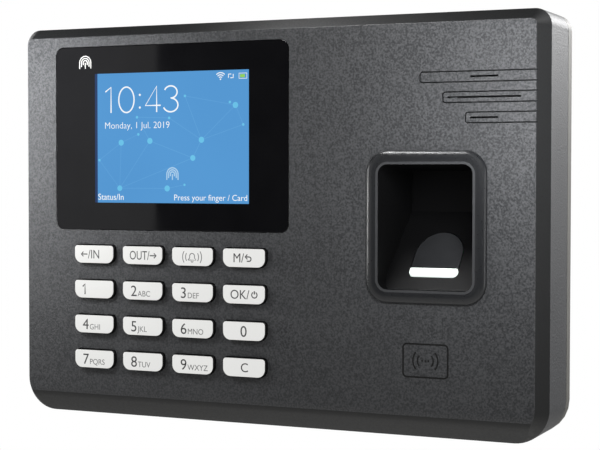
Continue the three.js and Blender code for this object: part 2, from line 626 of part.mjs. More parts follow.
function fingerWell() {
  const lip = FRONT - LIP_PROUD;
  const grow = WELL_LINER - FIT;
  const side = [
    [lip, WELL_TOP + grow],
    [lip, WELL_LOW - grow],
    [FRONT + WELL_SILL_DEEP, WELL_LOW - grow],
    [WELL_BACK + WELL_LINER, floorZ(WELL_BACK + WELL_LINER) - WELL_UNDER_FLOOR],
    [WELL_BACK + WELL_LINER, WELL_TOP + grow],
  ];
  const outer = bar(side, WELL_X - LINER_HALF + FIT, WELL_X + LINER_HALF - FIT)
    .intersect(slab(wellOutline(grow), lip, WELL_BACK + WELL_LINER));
  const backHalf = WELL_WIDTH / 2 - WELL_DRAFT;
  const back = [WELL_X - backHalf, WELL_X + backHalf, WELL_LOW + WELL_DRAFT, WELL_TOP - WELL_DRAFT];
  const leaningSides = new THREE.ExtrudeGeometry(roundedRect(...back, 1), {
    depth: 1,
    bevelThickness: WELL_BACK - lip,
    bevelSize: WELL_DRAFT,
    bevelSegments: 1,
    curveSegments: 4,
  });
  const hollow = solidOf(leaningSides.rotateX(Math.PI / 2).translate(0, lip, 0));
  const aboveFloor = [
    [lip - 1, WELL_TOP],
    [lip - 1, WELL_LOW],
    [FRONT + WELL_SILL_DEEP, WELL_LOW],
    [WELL_BACK, floorZ(WELL_BACK)],
    [WELL_BACK, WELL_TOP],
  ];
  return outer.subtract(hollow.intersect(bar(aboveFloor, WELL_X - LINER_HALF, WELL_X + LINER_HALF)))
    .subtract(platenWindow());
}

function placeSensor() {
  const half = PLATEN_LENGTH / 2;
  const under = PLATEN_PROUD - PLATEN_THICK;
  const barTop = -half + LIGHT_BAR_LENGTH;
  const barLow = LIGHT_BAR_PROUD - LIGHT_BAR_THICK;
  const arrayBack = under - FIT - SENSOR_ARRAY_THICK;
  const boardBack = arrayBack - FIT - BOARD_THICK;
  const aboveBar = solidOf(platenBlock(PLATEN_WIDTH, barTop + FIT, half + 1, under - 1, PLATEN_PROUD + 1));
  const belowBarTop = solidOf(platenBlock(PLATEN_WIDTH, -half - 1, barTop, barLow - 1, LIGHT_BAR_PROUD + 1));
  const platen = solidOf(platenArch(0, under, PLATEN_PROUD)).intersect(aboveBar);
  const lightBar = solidOf(platenArch(0, barLow, LIGHT_BAR_PROUD)).intersect(belowBarTop);
  const array = solidOf(platenBlock(PLATEN_WIDTH / 2 - 1, -half + 4, half - 1, arrayBack, under - FIT));
  const board = solidOf(platenBlock(SENSOR_BOARD_WIDTH / 2, -half, half, boardBack, arrayBack - FIT));
  place('sensor_platen', platen, OPTICAL_GLASS, platenFrame);
  place('sensor_light_bar', lightBar, LIT_WHITE, platenFrame);
  place('sensor_array', array, PART_BLACK, platenFrame);
  place('sensor_board', board, BOARD_GREEN, platenFrame);
}

// Flat cable from under the sensor board to the main board's edge.
function sensorRibbon() {
  const y = (MAIN_BOARD_FRONT + MAIN_BOARD_BACK) / 2;
  const half = LCD_RIBBON.thick / 2;
  const high = WELL_LOW - SENSOR_RIBBON_BELOW;
  return box(MAIN_BOARD_RIGHT + FIT, WELL_X - 3, y - half, y + half, high - SENSOR_RIBBON_WIDTH, high);
}

// ---------------------------------------------------------------- speaker and card reader
function speaker() {
  const front = FRONT_INSIDE + FIT + GASKET_THICK + FIT;
  const profile = [
    [0, SPEAKER_CAP_DEEP],
    [SPEAKER_CAP_RADIUS, SPEAKER_CONE_DEEP],
    [SPEAKER_RADIUS - SPEAKER_RIM - 1, SPEAKER_CONE_EDGE],
    [SPEAKER_RADIUS - SPEAKER_RIM, 0],
    [SPEAKER_RADIUS, 0],
    [SPEAKER_RADIUS, SPEAKER_RIM_DEEP],
    [SPEAKER_MAGNET_RADIUS + 0.5, SPEAKER_RIM_DEEP + 1],
    [SPEAKER_MAGNET_RADIUS, SPEAKER_DEEP],
    [0, SPEAKER_DEEP],
  ].map(([radius, y]) => new THREE.Vector2(radius, y));
  return solidOf(new THREE.LatheGeometry(profile, 24).translate(SPEAKER_X, front, SPEAKER_Z));
}

function speakerGasket() {
  const front = FRONT_INSIDE + FIT;
  return rodY(SPEAKER_X, SPEAKER_Z, SPEAKER_RADIUS, front, front + GASKET_THICK, 24)
    .subtract(rodY(SPEAKER_X, SPEAKER_Z, SPEAKER_RADIUS - 2, front - 1, front + GASKET_THICK + 1, 24));
}

function speakerLead() {
  const back = FRONT_INSIDE + FIT + GASKET_THICK + FIT + SPEAKER_DEEP;
  const y = back + 1.4;
  const z = SPEAKER_Z - SPEAKER_RADIUS + 2;
  const points = [
    [SPEAKER_X - 3, y, z + 2],
    [SPEAKER_X - 14, y, z],
    [MAIN_BOARD_RIGHT + 12, MAIN_BOARD_BACK + 1.3, z - 1],
    [MAIN_BOARD_RIGHT - 2, MAIN_BOARD_BACK + 1.3, z],
  ];
  return tube(points, LEAD_RADIUS, 12);
}

function cardReaderBoard() {
  const half = CARD_BOARD_WIDTH / 2;
  const z0 = LOW + CARD_BOARD_UP;
  const y = FRONT_INSIDE + FIT;
  const outline = roundedRect(WELL_X - half, WELL_X + half, z0, z0 + CARD_BOARD_HEIGHT, 1.5);
  const board = slab(outline, y, y + BOARD_THICK, SMALL_CURVE_STEPS);
  const chipHalf = CARD_CHIP.size / 2;
  const chipLow = z0 + CARD_CHIP.up;
  const depth = [y + BOARD_THICK - 0.2, y + BOARD_THICK + CARD_CHIP.thick];
  return board.add(box(WELL_X - chipHalf, WELL_X + chipHalf, ...depth, chipLow, chipLow + CARD_CHIP.size));
}

// ---------------------------------------------------------------- boards and what stands on them
function mainBoard() {
  const edges = [MAIN_BOARD_LEFT, MAIN_BOARD_RIGHT, MAIN_BOARD_LOW, MAIN_BOARD_TOP];
  let board = slab(roundedRect(...edges, 2), MAIN_BOARD_FRONT, MAIN_BOARD_BACK, 3);
  for (const [x, z] of boardBosses) {
    const around = [MAIN_BOARD_FRONT - 1, MAIN_BOARD_BACK + 1];
    board = board.subtract(rodY(x, z, SCREW_RADIUS + FIT, ...around, 12));
  }
  return board;
}

// A box standing on the main board's back.
const onBoard = (x0, x1, y0, y1, z0, z1) => box(x0, x1, ON_BOARD + y0, ON_BOARD + y1, z0, z1);

function networkSocket() {
  const { left, width, height, deep, wall, floor, mouth, long } = NETWORK;
  const middle = left + width / 2;
  const latchHalf = NETWORK_LATCH.width / 2;
  const inside = [SOCKET_LOW - 1, SOCKET_LOW + long];
  return onBoard(left, left + width, 0, deep, SOCKET_LOW, SOCKET_LOW + height)
    .subtract(onBoard(left + wall, left + width - wall, floor, floor + mouth, ...inside))
    .subtract(
      onBoard(middle - latchHalf, middle + latchHalf, floor + mouth - 0.1, NETWORK_LATCH.deep, ...inside),
    );
}

function usbSocket() {
  const { left, width, height, deep, wall, long } = USB;
  const { inset, front, thick, up } = USB_TONGUE;
  const right = left + width;
  const sides = [left + wall + inset, right - wall - inset];
  const ends = [SOCKET_LOW + up, SOCKET_LOW + long + 0.5];
  return onBoard(left, right, 0, deep, SOCKET_LOW, SOCKET_LOW + height)
    .subtract(onBoard(left + wall, right - wall, wall, deep - wall, SOCKET_LOW - 1, SOCKET_LOW + long))
    .add(onBoard(...sides, front, front + thick, ...ends));
}

function powerTerminals() {
  const { left, ways, pitch, height, deep, screwDeep, screwUp } = TERMINALS;
  const hole = TERMINAL_HOLE;
  let block = onBoard(left, left + ways * pitch, 0, deep, SOCKET_LOW, SOCKET_LOW + height);
  for (let way = 0; way < ways; way += 1) {
    const x = left + (way + 0.5) * pitch;
    const sides = [x - hole.half, x + hole.half];
    const ends = [SOCKET_LOW - 1, SOCKET_LOW + hole.long];
    block = block
      .subtract(onBoard(...sides, hole.front, hole.front + hole.deep, ...ends))
      .subtract(rodY(x, SOCKET_LOW + screwUp, hole.half, ON_BOARD + screwDeep, ON_BOARD + deep + 1, 10));
  }
  return block;
}

function processorShield() {
  const outline = roundedRect(-SHIELD.half, SHIELD.half, SHIELD.low, SHIELD.high, SHIELD.corner);
  return slab(outline, ON_BOARD, ON_BOARD + SHIELD.thick, SMALL_CURVE_STEPS);
}

function wirelessModule() {
  const left = MAIN_BOARD_LEFT + WIRELESS.fromLeft;
  return onBoard(left, left + WIRELESS.width, 0, WIRELESS.thick, WIRELESS.low, WIRELESS.high);
}

function relay() {
  const { fromRight, width, low, high, corner, deep, edge } = RELAY;
  const right = MAIN_BOARD_RIGHT - fromRight;
  const outline = roundedRect(right - width, right, low, high, corner);
  return flaredSlab(outline, ON_BOARD, ON_BOARD + deep, edge, edge, 1, 1);
}

function batteryPack() {
  const { fromLeft, width, low, high, corner, thick, edge, edgeDeep } = BATTERY;
  const left = MAIN_BOARD_LEFT + fromLeft;
  const outline = roundedRect(left + edge, left + width - edge, low + edge, high - edge, corner);
  return flaredSlab(outline, ON_BOARD, ON_BOARD + thick, edge, edgeDeep, 2, 2);
}

function batteryLead() {
  const x = MAIN_BOARD_LEFT + BATTERY.fromLeft + BATTERY.width + FIT * 2;
  const y = ON_BOARD + 3.4;
  const z = BATTERY.high - 10;
  return tube([[x, y, z], [x + 4, y, z], [x + 5, y, z - 5], [x + 9, y - 1, z - 7]], LEAD_RADIUS, 10);
}

function coinCellHolder() {
  const { x, z, radius } = COIN_CELL;
  const { wall, floor, deep } = CELL_HOLDER;
  return rodY(x, z, radius + FIT + wall, ON_BOARD, ON_BOARD + deep, 24)
    .subtract(rodY(x, z, radius + FIT, ON_BOARD + floor, ON_BOARD + deep + 1, 24));
}

function coinCell() {
  const front = ON_BOARD + CELL_HOLDER.floor + FIT;
  return rodY(COIN_CELL.x, COIN_CELL.z, COIN_CELL.radius, front, front + COIN_CELL.thick, 24);
}

// ---------------------------------------------------------------- tamper switch
const PLUNGER_FRONT = ON_BOARD + TAMPER.bore;
const PLUNGER_BACK = -BRACKET_THICK - FIT;

function tamperSwitch() {
  const { half, deep } = TAMPER;
  const boreFront = PLUNGER_FRONT - PLUNGER_TRAVEL - FIT;
  return onBoard(-half, half, 0, deep, TAMPER_Z - half, TAMPER_Z + half)
    .subtract(rodY(0, TAMPER_Z, PLUNGER_RADIUS + FIT, boreFront, ON_BOARD + deep + 1, 12));
}

function tamperPlunger() {
  const profile = [
    [0, PLUNGER_FRONT],
    [PLUNGER_RADIUS, PLUNGER_FRONT],
    [PLUNGER_RADIUS, PLUNGER_BACK - PLUNGER_TIP],
    [PLUNGER_RADIUS * 0.6, PLUNGER_BACK],
    [0, PLUNGER_BACK],
  ].map(([radius, y]) => new THREE.Vector2(radius, y));
  return solidOf(new THREE.LatheGeometry(profile, 12).translate(0, 0, TAMPER_Z));
}

// ---------------------------------------------------------------- wall bracket
function wallBracket() {
  const half = BRACKET_WIDTH / 2;
  const end = BRACKET_HEIGHT / 2;
  const cableHalf = CABLE_HOLE_WIDTH / 2;
  const cableHole = roundedRect(-cableHalf, cableHalf, CABLE_HOLE_LOW, CABLE_HOLE_HIGH, 3);
  let plate = slab(roundedRect(-half, half, -end, end, 3), -BRACKET_THICK, 0, 2)
    .subtract(slab(cableHole, -BRACKET_THICK - 1, 1, 2))
    .add(box(-FLANGE_WIDTH / 2, FLANGE_WIDTH / 2, -FLANGE_REACH, -0.5, -end, FLANGE_TOP))
    .subtract(rodZ(0, -LOCK_SCREW_DEEP, SCREW_RADIUS + FIT, -end - 1, FLANGE_TOP + 1, 12));
  const hookHalf = HOOK_WIDTH / 2;
  const tongueBack = RECESS_IN - 0.5;
  const tongueFront = tongueBack - BRACKET_THICK;
  for (const x of [-HOOK_X, HOOK_X]) {
    const above = HOOK_Z + BRACKET_THICK;
    plate = plate
      .subtract(box(x - hookHalf, x + hookHalf, -BRACKET_THICK - 1, 1, above, above + HOOK_TONGUE))
      .add(box(x - hookHalf, x + hookHalf, tongueFront, 0, HOOK_Z, above))
      .add(box(x - hookHalf, x + hookHalf, tongueFront, tongueBack, HOOK_Z, HOOK_Z + HOOK_TONGUE));
    for (const z of [-WALL_SLOT_Z, WALL_SLOT_Z]) {
      const wide = WALL_SLOT_LENGTH / 2;
      const centre = Math.sign(x) * WALL_SLOT_X;
      const tall = WALL_SLOT_WIDTH / 2;
      const slot = roundedRect(centre - wide, centre + wide, z - tall, z + tall, tall - 0.01);
      plate = plate.subtract(slab(slot, -BRACKET_THICK - 1, 1, 2));
    }
  }
  return plate;
}

// ---------------------------------------------------------------- screws
// A pan-head screw: head towards +Y from its own origin, shank towards -Y, cross recess in the head.
function screw(length) {
  const profile = [
    [0, -length],
    [SCREW_RADIUS * 0.6, -length],
    [SCREW_RADIUS, -length + 1],
    [SCREW_RADIUS, 0],
    [SCREW_HEAD_RADIUS, 0],
    [SCREW_HEAD_RADIUS, SCREW_HEAD_HEIGHT * 0.6],
    [SCREW_HEAD_RADIUS * 0.7, SCREW_HEAD_HEIGHT],
    [0, SCREW_HEAD_HEIGHT],
  ].map(([radius, y]) => new THREE.Vector2(radius, y));
  const recess = [SCREW_HEAD_HEIGHT * 0.45, SCREW_HEAD_HEIGHT + 1];
  return solidOf(new THREE.LatheGeometry(profile, 12))
    .subtract(box(-1.4, 1.4, ...recess, -0.35, 0.35))
    .subtract(box(-0.35, 0.35, ...recess, -1.4, 1.4));
}

function placeScrews() {
  caseBosses.forEach(([x, z], index) => {
    const mesh = place(`case_screw_${index + 1}`, screw(CASE_SCREW_LENGTH), STEEL);
    mesh.position.set(x, REAR - SCREW_HEAD_HEIGHT - FIT, z);
  });
  boardBosses.forEach(([x, z], index) => {
    const mesh = place(`board_screw_${index + 1}`, screw(BOARD_SCREW_LENGTH), STEEL);
    mesh.position.set(x, MAIN_BOARD_BACK + FIT, z);
  });
  const lock = place('lock_screw', screw(LOCK_SCREW_LENGTH), STEEL);
  lock.position.set(0, -LOCK_SCREW_DEEP, LOCK_SCREW_HEAD);
  lock.rotation.x = -Math.PI / 2;
}

// ---------------------------------------------------------------- assembly
place('wall_bracket', wallBracket(), STEEL);
place('back_case', backCase(), BACK_GREY);
place('front_case', frontCase(), GREY_CASE);
place('rating_label', ratingLabel(), LABEL_WHITE);
place('lcd_window', slab(windowOutline(FIT / 2), FRONT, FRONT + WINDOW_THICK), BLACK_GLOSS);
const panelFront = FRONT + WINDOW_THICK + FIT;
const backlightFront = panelFront + PANEL_THICK + FIT;
place('lcd_panel', lcdPanel(PANEL_THICK, panelFront, SCREEN_BORDER), SCREEN_GLASS);
place('lcd_backlight', lcdPanel(BACKLIGHT_THICK, backlightFront, SCREEN_BORDER - 0.6), FOIL_SILVER);
place('lcd_ribbon', lcdRibbon(), RIBBON_BROWN);
for (const { name, x, z } of keyPlaces) {
  place(`key_${name}`, keyCap(x, z), KEY_WHITE);
}
place('keypad_mat', keypadMat(), RUBBER_GREY);
place('keypad_board', keypadBoard(), BOARD_GREEN);
place('finger_well', fingerWell(), BLACK_MATT);
placeSensor();
place('sensor_ribbon', sensorRibbon(), RIBBON_BROWN);
place('speaker', speaker(), PART_BLACK);
place('speaker_gasket', speakerGasket(), RUBBER_GREY);
place('speaker_lead', speakerLead(), LEAD_BLACK);
place('card_reader_board', cardReaderBoard(), BOARD_GREEN);
place('main_board', mainBoard(), BOARD_GREEN);
place('processor_shield', processorShield(), FOIL_SILVER);
place('wireless_module', wirelessModule(), FOIL_SILVER);
place('relay', relay(), RELAY_BLUE);
place('battery_pack', batteryPack(), FOIL_SILVER);
place('battery_lead', batteryLead(), LEAD_BLACK);
place('coin_cell_holder', coinCellHolder(), PART_BLACK);
place('coin_cell', coinCell(), SILVER_CELL);
place('network_socket', networkSocket(), STEEL);
place('usb_socket', usbSocket(), STEEL);
place('power_terminals', powerTerminals(), CONNECTOR_GREEN);
place('tamper_switch', tamperSwitch(), PART_BLACK);
place('tamper_plunger', tamperPlunger(), KEY_WHITE);
placeScrews();

export default terminal;
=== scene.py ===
# %% [markdown]
# # A wall-mounted fingerprint terminal
# The terminal hangs on a steel bracket. Its grey case holds a gloss display window and sixteen white
# keys on the left, and a hooded well with a lit glass platen on the right. The solid model already has
# every part at its real size and place, so this lesson only makes the surfaces that the eye meets:
# rounded edges, print, grain, gloss and light. Everything is in metres, with +X to the right as a
# person faces the display, +Y into the wall and +Z up.

# %% Load the solid model
import json
from math import cos, pi, radians, sin

import bpy
from mathutils import Matrix, Vector


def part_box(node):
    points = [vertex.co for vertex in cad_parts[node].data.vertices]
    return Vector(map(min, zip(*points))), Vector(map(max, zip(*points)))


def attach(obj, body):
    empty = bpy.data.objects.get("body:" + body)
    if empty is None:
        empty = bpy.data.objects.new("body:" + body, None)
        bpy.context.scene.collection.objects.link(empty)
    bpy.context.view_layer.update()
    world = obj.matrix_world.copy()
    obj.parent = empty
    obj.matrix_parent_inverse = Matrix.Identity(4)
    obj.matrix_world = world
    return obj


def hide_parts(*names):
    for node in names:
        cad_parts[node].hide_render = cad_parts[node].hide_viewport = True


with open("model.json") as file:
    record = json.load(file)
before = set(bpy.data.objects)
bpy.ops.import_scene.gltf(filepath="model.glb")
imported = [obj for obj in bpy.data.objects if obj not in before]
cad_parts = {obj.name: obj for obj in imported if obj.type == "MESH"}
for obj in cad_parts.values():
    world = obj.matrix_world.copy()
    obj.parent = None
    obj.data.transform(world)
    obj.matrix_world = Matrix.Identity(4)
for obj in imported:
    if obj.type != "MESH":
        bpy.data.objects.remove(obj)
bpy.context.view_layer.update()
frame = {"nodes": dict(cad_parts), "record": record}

MM = 0.001


# %% [markdown]
# The camera stands to the right of the terminal and looks slightly down and to the left at it, with a
# long lens, so upright edges stay nearly parallel. It is built from the three directions of its view.

# %% Camera
VIEW_RIGHT = Vector((0.91092, 0.41260, 0.00098))
VIEW_UP = Vector((-0.01413, 0.02883, 0.99949))
VIEW_BACK = Vector((0.41236, -0.91046, 0.03209))
CAMERA_PLACE = Vector((213.3, -471.1, 15.4)) * MM

bpy.ops.object.camera_add()
camera = bpy.context.object
camera.name = "camera"
turn = Matrix((VIEW_RIGHT, VIEW_UP, VIEW_BACK)).transposed().to_4x4()
camera.matrix_world = Matrix.Translation(CAMERA_PLACE) @ turn
camera.data.sensor_width = 36
camera.data.lens = 91.92
bpy.context.scene.camera = camera
print("camera", round(CAMERA_PLACE.length / MM), "mm from the origin")


# %% [markdown]
# Most pieces start as a block with rounded upright corners, so a few helpers come first. They work as a
# person does in the viewport: add a cube at its size, go into edit mode, pick some edges or faces by
# where they lie, and run an operator on them. Everything is deselected first, because an operator acts
# on all that is selected.

# %% Modelling helpers
def clear_selection():
    if bpy.context.object and bpy.context.object.mode != "OBJECT":
        bpy.ops.object.mode_set(mode="OBJECT")
    bpy.ops.object.select_all(action="DESELECT")


def work_on(piece):
    clear_selection()
    piece.select_set(True)
    bpy.context.view_layer.objects.active = piece


def apply_place(piece):
    work_on(piece)
    bpy.ops.object.transform_apply(location=True, rotation=True, scale=True)
    return piece


def block(name, low, high):
    """A cube primitive, stretched between two corners."""
    low, high = Vector(low), Vector(high)
    clear_selection()
    bpy.ops.mesh.primitive_cube_add(size=1, location=(low + high) / 2)
    piece = bpy.context.object
    piece.name = name
    piece.scale = high - low
    return apply_place(piece)


def pick(piece, kind, test):
    """Opens a piece in edit mode with its VERT, EDGE or FACE parts that pass the test selected."""
    work_on(piece)
    bpy.context.tool_settings.mesh_select_mode = [kind == name for name in ("VERT", "EDGE", "FACE")]
    mesh = piece.data
    parts = {"VERT": mesh.vertices, "EDGE": mesh.edges, "FACE": mesh.polygons}
    for group in parts.values():
        for part in group:
            part.select = False
    for part in parts[kind]:
        if kind == "VERT":
            part.select = test(part.co)
        elif kind == "EDGE":
            part.select = test(*(mesh.vertices[index].co for index in part.vertices))
        else:
            part.select = test(part.center, part.normal)
    bpy.ops.object.mode_set(mode="EDIT")


def round_corners(piece, radius, upper, segments=8):
    """Rounds the corners whose edges run along Y, in the piece's upper or lower half."""
    heights = [vertex.co.z for vertex in piece.data.vertices]
    middle = (min(heights) + max(heights)) / 2

    def corner(a, b):
        along_y = abs(a.x - b.x) + abs(a.z - b.z) < 1e-6
        return along_y and (a.z > middle) == upper

    pick(piece, "EDGE", corner)
    bpy.ops.mesh.bevel(offset=radius, segments=segments, affect="EDGES")
    bpy.ops.object.mode_set(mode="OBJECT")


def rounded_block(name, low, high, top_radius, low_radius=None, segments=8):
    piece = block(name, low, high)
    round_corners(piece, top_radius, True, segments)
    round_corners(piece, low_radius or top_radius, False, segments)
    return piece


def joined(name, pieces):
    work_on(pieces[0])
    for piece in pieces:
        piece.select_set(True)
    if len(pieces) > 1:
        bpy.ops.object.join()
    whole = bpy.context.object
    whole.name = name
    return whole


def apply_modifier(piece, kind, **settings):
    modifier = piece.modifiers.new(kind.lower(), kind)
    for name, value in settings.items():
        setattr(modifier, name, value)
    work_on(piece)
    bpy.ops.object.modifier_apply(modifier=modifier.name)


def cut_out(piece, cutters):
    """Takes the cutters off the piece, then throws them away."""
    tool = joined("cutter", cutters)
    apply_modifier(piece, "BOOLEAN", operation="DIFFERENCE", solver="EXACT", object=tool)
    bpy.data.objects.remove(tool)


def smooth(piece, angle=35):
    work_on(piece)
    bpy.ops.object.shade_smooth_by_angle(angle=radians(angle))


def soften_edges(piece, width):
    """Rounds every sharp edge a little, so that it catches the light as a moulded edge does."""
    smooth(piece)
    apply_modifier(piece, "BEVEL", width=width, segments=2, limit_method="ANGLE",
                   angle_limit=radians(30), harden_normals=True)
    apply_modifier(piece, "WEIGHTED_NORMAL", keep_sharp=True)


# %% [markdown]
# Materials come next, because each piece takes one as it is made. Colours are written as the hex values
# that a colour picker shows and turned to linear light by one function. One more function adds a shader
# node with its settings and links.

# %% Material helpers
def linear(hex_colour, alpha=1.0):
    values = [int(hex_colour[start:start + 2], 16) / 255 for start in (1, 3, 5)]
    return (*(v / 12.92 if v <= 0.04045 else ((v + 0.055) / 1.055) ** 2.4 for v in values), alpha)


def node(tree, kind, settings=None, links=None):
    made = tree.nodes.new(kind)
    for name, value in (settings or {}).items():
        if isinstance(name, int) or name in made.inputs:
            made.inputs[name].default_value = value
        else:
            setattr(made, name, value)
    for name, source in (links or {}).items():
        tree.links.new(source, made.inputs[name])
    return made


def start_material(name):
    """A new material, with its node tree, its shader and Object coordinates in millimetres."""
    material = bpy.data.materials.new(name)
    material.use_nodes = True
    tree = material.node_tree
    shader = tree.nodes["Principled BSDF"]
    place = node(tree, "ShaderNodeTexCoord").outputs["Object"]
    in_mm = node(tree, "ShaderNodeMapping", {"Scale": (1000, 1000, 1000)}, {"Vector": place})
    return material, tree, shader, in_mm.outputs["Vector"]


def speckle(tree, place, size_mm, detail=2.0):
    """Noise whose blotches are about this many millimetres across."""
    return node(tree, "ShaderNodeTexNoise", {"Scale": 1 / size_mm, "Detail": detail}, {"Vector": place})


def blend_colours(tree, factor, first, second):
    ramp = node(tree, "ShaderNodeValToRGB", links={"Fac": factor})
    ramp.color_ramp.elements[0].position = 0.3
    ramp.color_ramp.elements[0].color = linear(first)
    ramp.color_ramp.elements[1].position = 0.7
    ramp.color_ramp.elements[1].color = linear(second)
    return ramp.outputs["Color"]


def spread(tree, factor, low, high):
    """Turns noise round 0.5 into values round the middle of low and high."""
    settings = {"From Min": 0.3, "From Max": 0.7, "To Min": low, "To Max": high}
    return node(tree, "ShaderNodeMapRange", settings, {"Value": factor}).outputs["Result"]


def roughen(tree, shader, height, distance_mm, strength=1.0):
    settings = {"Strength": strength, "Distance": distance_mm * MM}
    bump = node(tree, "ShaderNodeBump", settings, {"Height": height})
    tree.links.new(bump.outputs["Normal"], shader.inputs["Normal"])


# %% [markdown]
# Moulded ABS takes its surface from the steel mould. The case's mould was spark-eroded, which gives the
# front a fine, even grain of about half a millimetre that breaks the highlights up into sparkle.
# Other plastic parts are the same story with another colour and a finer or coarser grain, so one
# function serves them all, and broad faint blotches keep the colour from looking printed.

# %% Moulded plastics
def moulded_plastic(name, dark, light, roughness, grain_mm, grain_deep_mm, patchy=0.4):
    material, tree, shader, place = start_material(name)
    grain = speckle(tree, place, grain_mm, detail=3.0).outputs["Fac"]
    patches = speckle(tree, place, 22, detail=3.0).outputs["Fac"]
    mix = node(tree, "ShaderNodeMath", {"operation": "MULTIPLY_ADD", 1: 1 - patchy, 2: 0.0}, {0: grain})
    both = node(tree, "ShaderNodeMath", {"operation": "MULTIPLY_ADD", 1: patchy},
                {0: patches, 2: mix.outputs["Value"]})
    colour = blend_colours(tree, both.outputs["Value"], dark, light)
    tree.links.new(colour, shader.inputs["Base Color"])
    tree.links.new(spread(tree, grain, roughness - 0.07, roughness + 0.07), shader.inputs["Roughness"])
    roughen(tree, shader, grain, grain_deep_mm)
    shader.inputs["IOR"].default_value = 1.54
    return material


CASE_ABS = moulded_plastic("spark_grained_grey_abs", "#303133", "#4b4c4e", 0.5, 0.6, 0.13, patchy=0.1)
case_ramp = CASE_ABS.node_tree.nodes["Color Ramp"].color_ramp
case_ramp.elements[0].position, case_ramp.elements[1].position = 0.38, 0.62
LIP_ABS = moulded_plastic("satin_grey_abs", "#3a3b3d", "#434446", 0.4, 0.5, 0.01)
RIDGE_ABS = moulded_plastic("smooth_grey_abs", "#1d1e20", "#232426", 0.34, 0.6, 0.005)
BACK_ABS = moulded_plastic("grained_light_grey_abs", "#5d5c58", "#6a6965", 0.55, 0.42, 0.05)
WELL_ABS = moulded_plastic("fine_grained_black_abs", "#0d0d0e", "#131314", 0.5, 0.3, 0.02)
WELL_ABS.node_tree.nodes["Principled BSDF"].inputs["Specular IOR Level"].default_value = 0.15
PART_PLASTIC = moulded_plastic("black_moulded_nylon", "#17181a", "#222325", 0.5, 0.5, 0.02)
TERMINAL_NYLON = moulded_plastic("green_moulded_nylon", "#23703a", "#2f8a49", 0.45, 0.5, 0.02)
RELAY_PLASTIC = moulded_plastic("blue_gloss_nylon", "#1d4fa0", "#265cb4", 0.25, 0.8, 0.01)
SILICONE = moulded_plastic("grey_silicone_rubber", "#4d4f51", "#5c5e60", 0.75, 0.4, 0.03)
LEAD_PVC = moulded_plastic("black_pvc", "#141414", "#1d1d1d", 0.4, 0.6, 0.01)
LABEL_FILM = moulded_plastic("blank_polyester_label", "#d8d8d2", "#e6e6e1", 0.45, 0.9, 0.004)
print("moulded plastics ready")


# %% [markdown]
# The mould's chamfers are polished, not eroded, so the case is smoother there, as it is on the walls of
# its openings. Both also get painted shade: their colour is darkened for the dimmer light they catch.
# Both lie within 5 mm behind the front face, so the material reads how deep a point lies.

# %% Smoother band behind the front face, with painted shade
CASE_FRONT_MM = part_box("lcd_window")[0][1] / MM
BAND_MIDDLE_MM = 2.6
BAND_HALF_MM = 2.3
case_tree = CASE_ABS.node_tree
case_shader = case_tree.nodes["Principled BSDF"]
case_place = case_tree.nodes["Mapping"].outputs["Vector"]
depth = node(case_tree, "ShaderNodeSeparateXYZ", links={"Vector": case_place}).outputs["Y"]
band_middle = CASE_FRONT_MM + BAND_MIDDLE_MM
smooth_and_painted_shade_band = node(case_tree, "ShaderNodeMath", {"operation": "COMPARE", 1: band_middle, 2: BAND_HALF_MM},
            {0: depth}).outputs["Value"]
grained = case_shader.inputs["Base Color"].links[0].from_socket
# Painted shade: within the band the case colour is mixed towards near-black.
shade = node(case_tree, "ShaderNodeMix", {"data_type": "RGBA", 7: linear("#161718")}, {0: smooth_and_painted_shade_band, 6: grained})
case_tree.links.new(shade.outputs[2], case_shader.inputs["Base Color"])
flatter = node(case_tree, "ShaderNodeMath", {"operation": "MULTIPLY_ADD", 1: -0.9, 2: 1.0}, {0: smooth_and_painted_shade_band})
case_tree.links.new(flatter.outputs["Value"], case_tree.nodes["Bump"].inputs["Strength"])
band_ends = [round(band_middle + way * BAND_HALF_MM, 1) for way in (-1, 1)]
print("polished band from", band_ends[0], "to", band_ends[1], "mm")


# %% [markdown]
# The keys are white ABS, moulded smooth. A weak painted glow keeps them evenly white where the case
# round them falls into shade.

# %% Key plastic and print
KEY_SKIRT_ABS = moulded_plastic("matt_black_abs", "#040404", "#070707", 0.8, 0.5, 0.01)
KEY_ABS_PAINTED_GLOW = moulded_plastic("white_abs_painted_glow", "#6e6e6c", "#787876", 0.38, 0.6, 0.006)
key_shader = KEY_ABS_PAINTED_GLOW.node_tree.nodes["Principled BSDF"]
# Painted glow: the white key plastic gives off a little light of its own.
key_shader.inputs["Emission Color"].default_value = linear("#f4f4f2")
key_shader.inputs["Emission Strength"].default_value = 0.72


def ink(name, colour, other, glow=0.0):
    """Pad-printed ink: a thin satin film, slightly uneven where it was pressed on."""
    material = moulded_plastic(name, colour, other, 0.42, 0.5, 0.004)
    shader = material.node_tree.nodes["Principled BSDF"]
    shader.inputs["Emission Color"].default_value = linear(other)
    shader.inputs["Emission Strength"].default_value = glow
    return material


# The inks on the keys glow faintly along with the keys' painted glow.
DIGIT_INK = ink("dark_grey_ink", "#3c3c3d", "#484849", 0.02)
LETTER_INK = ink("mid_grey_ink", "#707071", "#7c7c7d", 0.05)
BLACK_INK = ink("black_ink", "#0c0c0c", "#121212")
WHITE_INK = ink("white_ink", "#a8a8a6", "#b4b4b2")


# %% [markdown]
# Metals: the bracket and the screws are zinc-plated steel, rolled and then plated, so faint streaks run
# along it and the plating is mottled. Cells, sockets and shields are nickel or tin plated, which is
# brighter and more even.

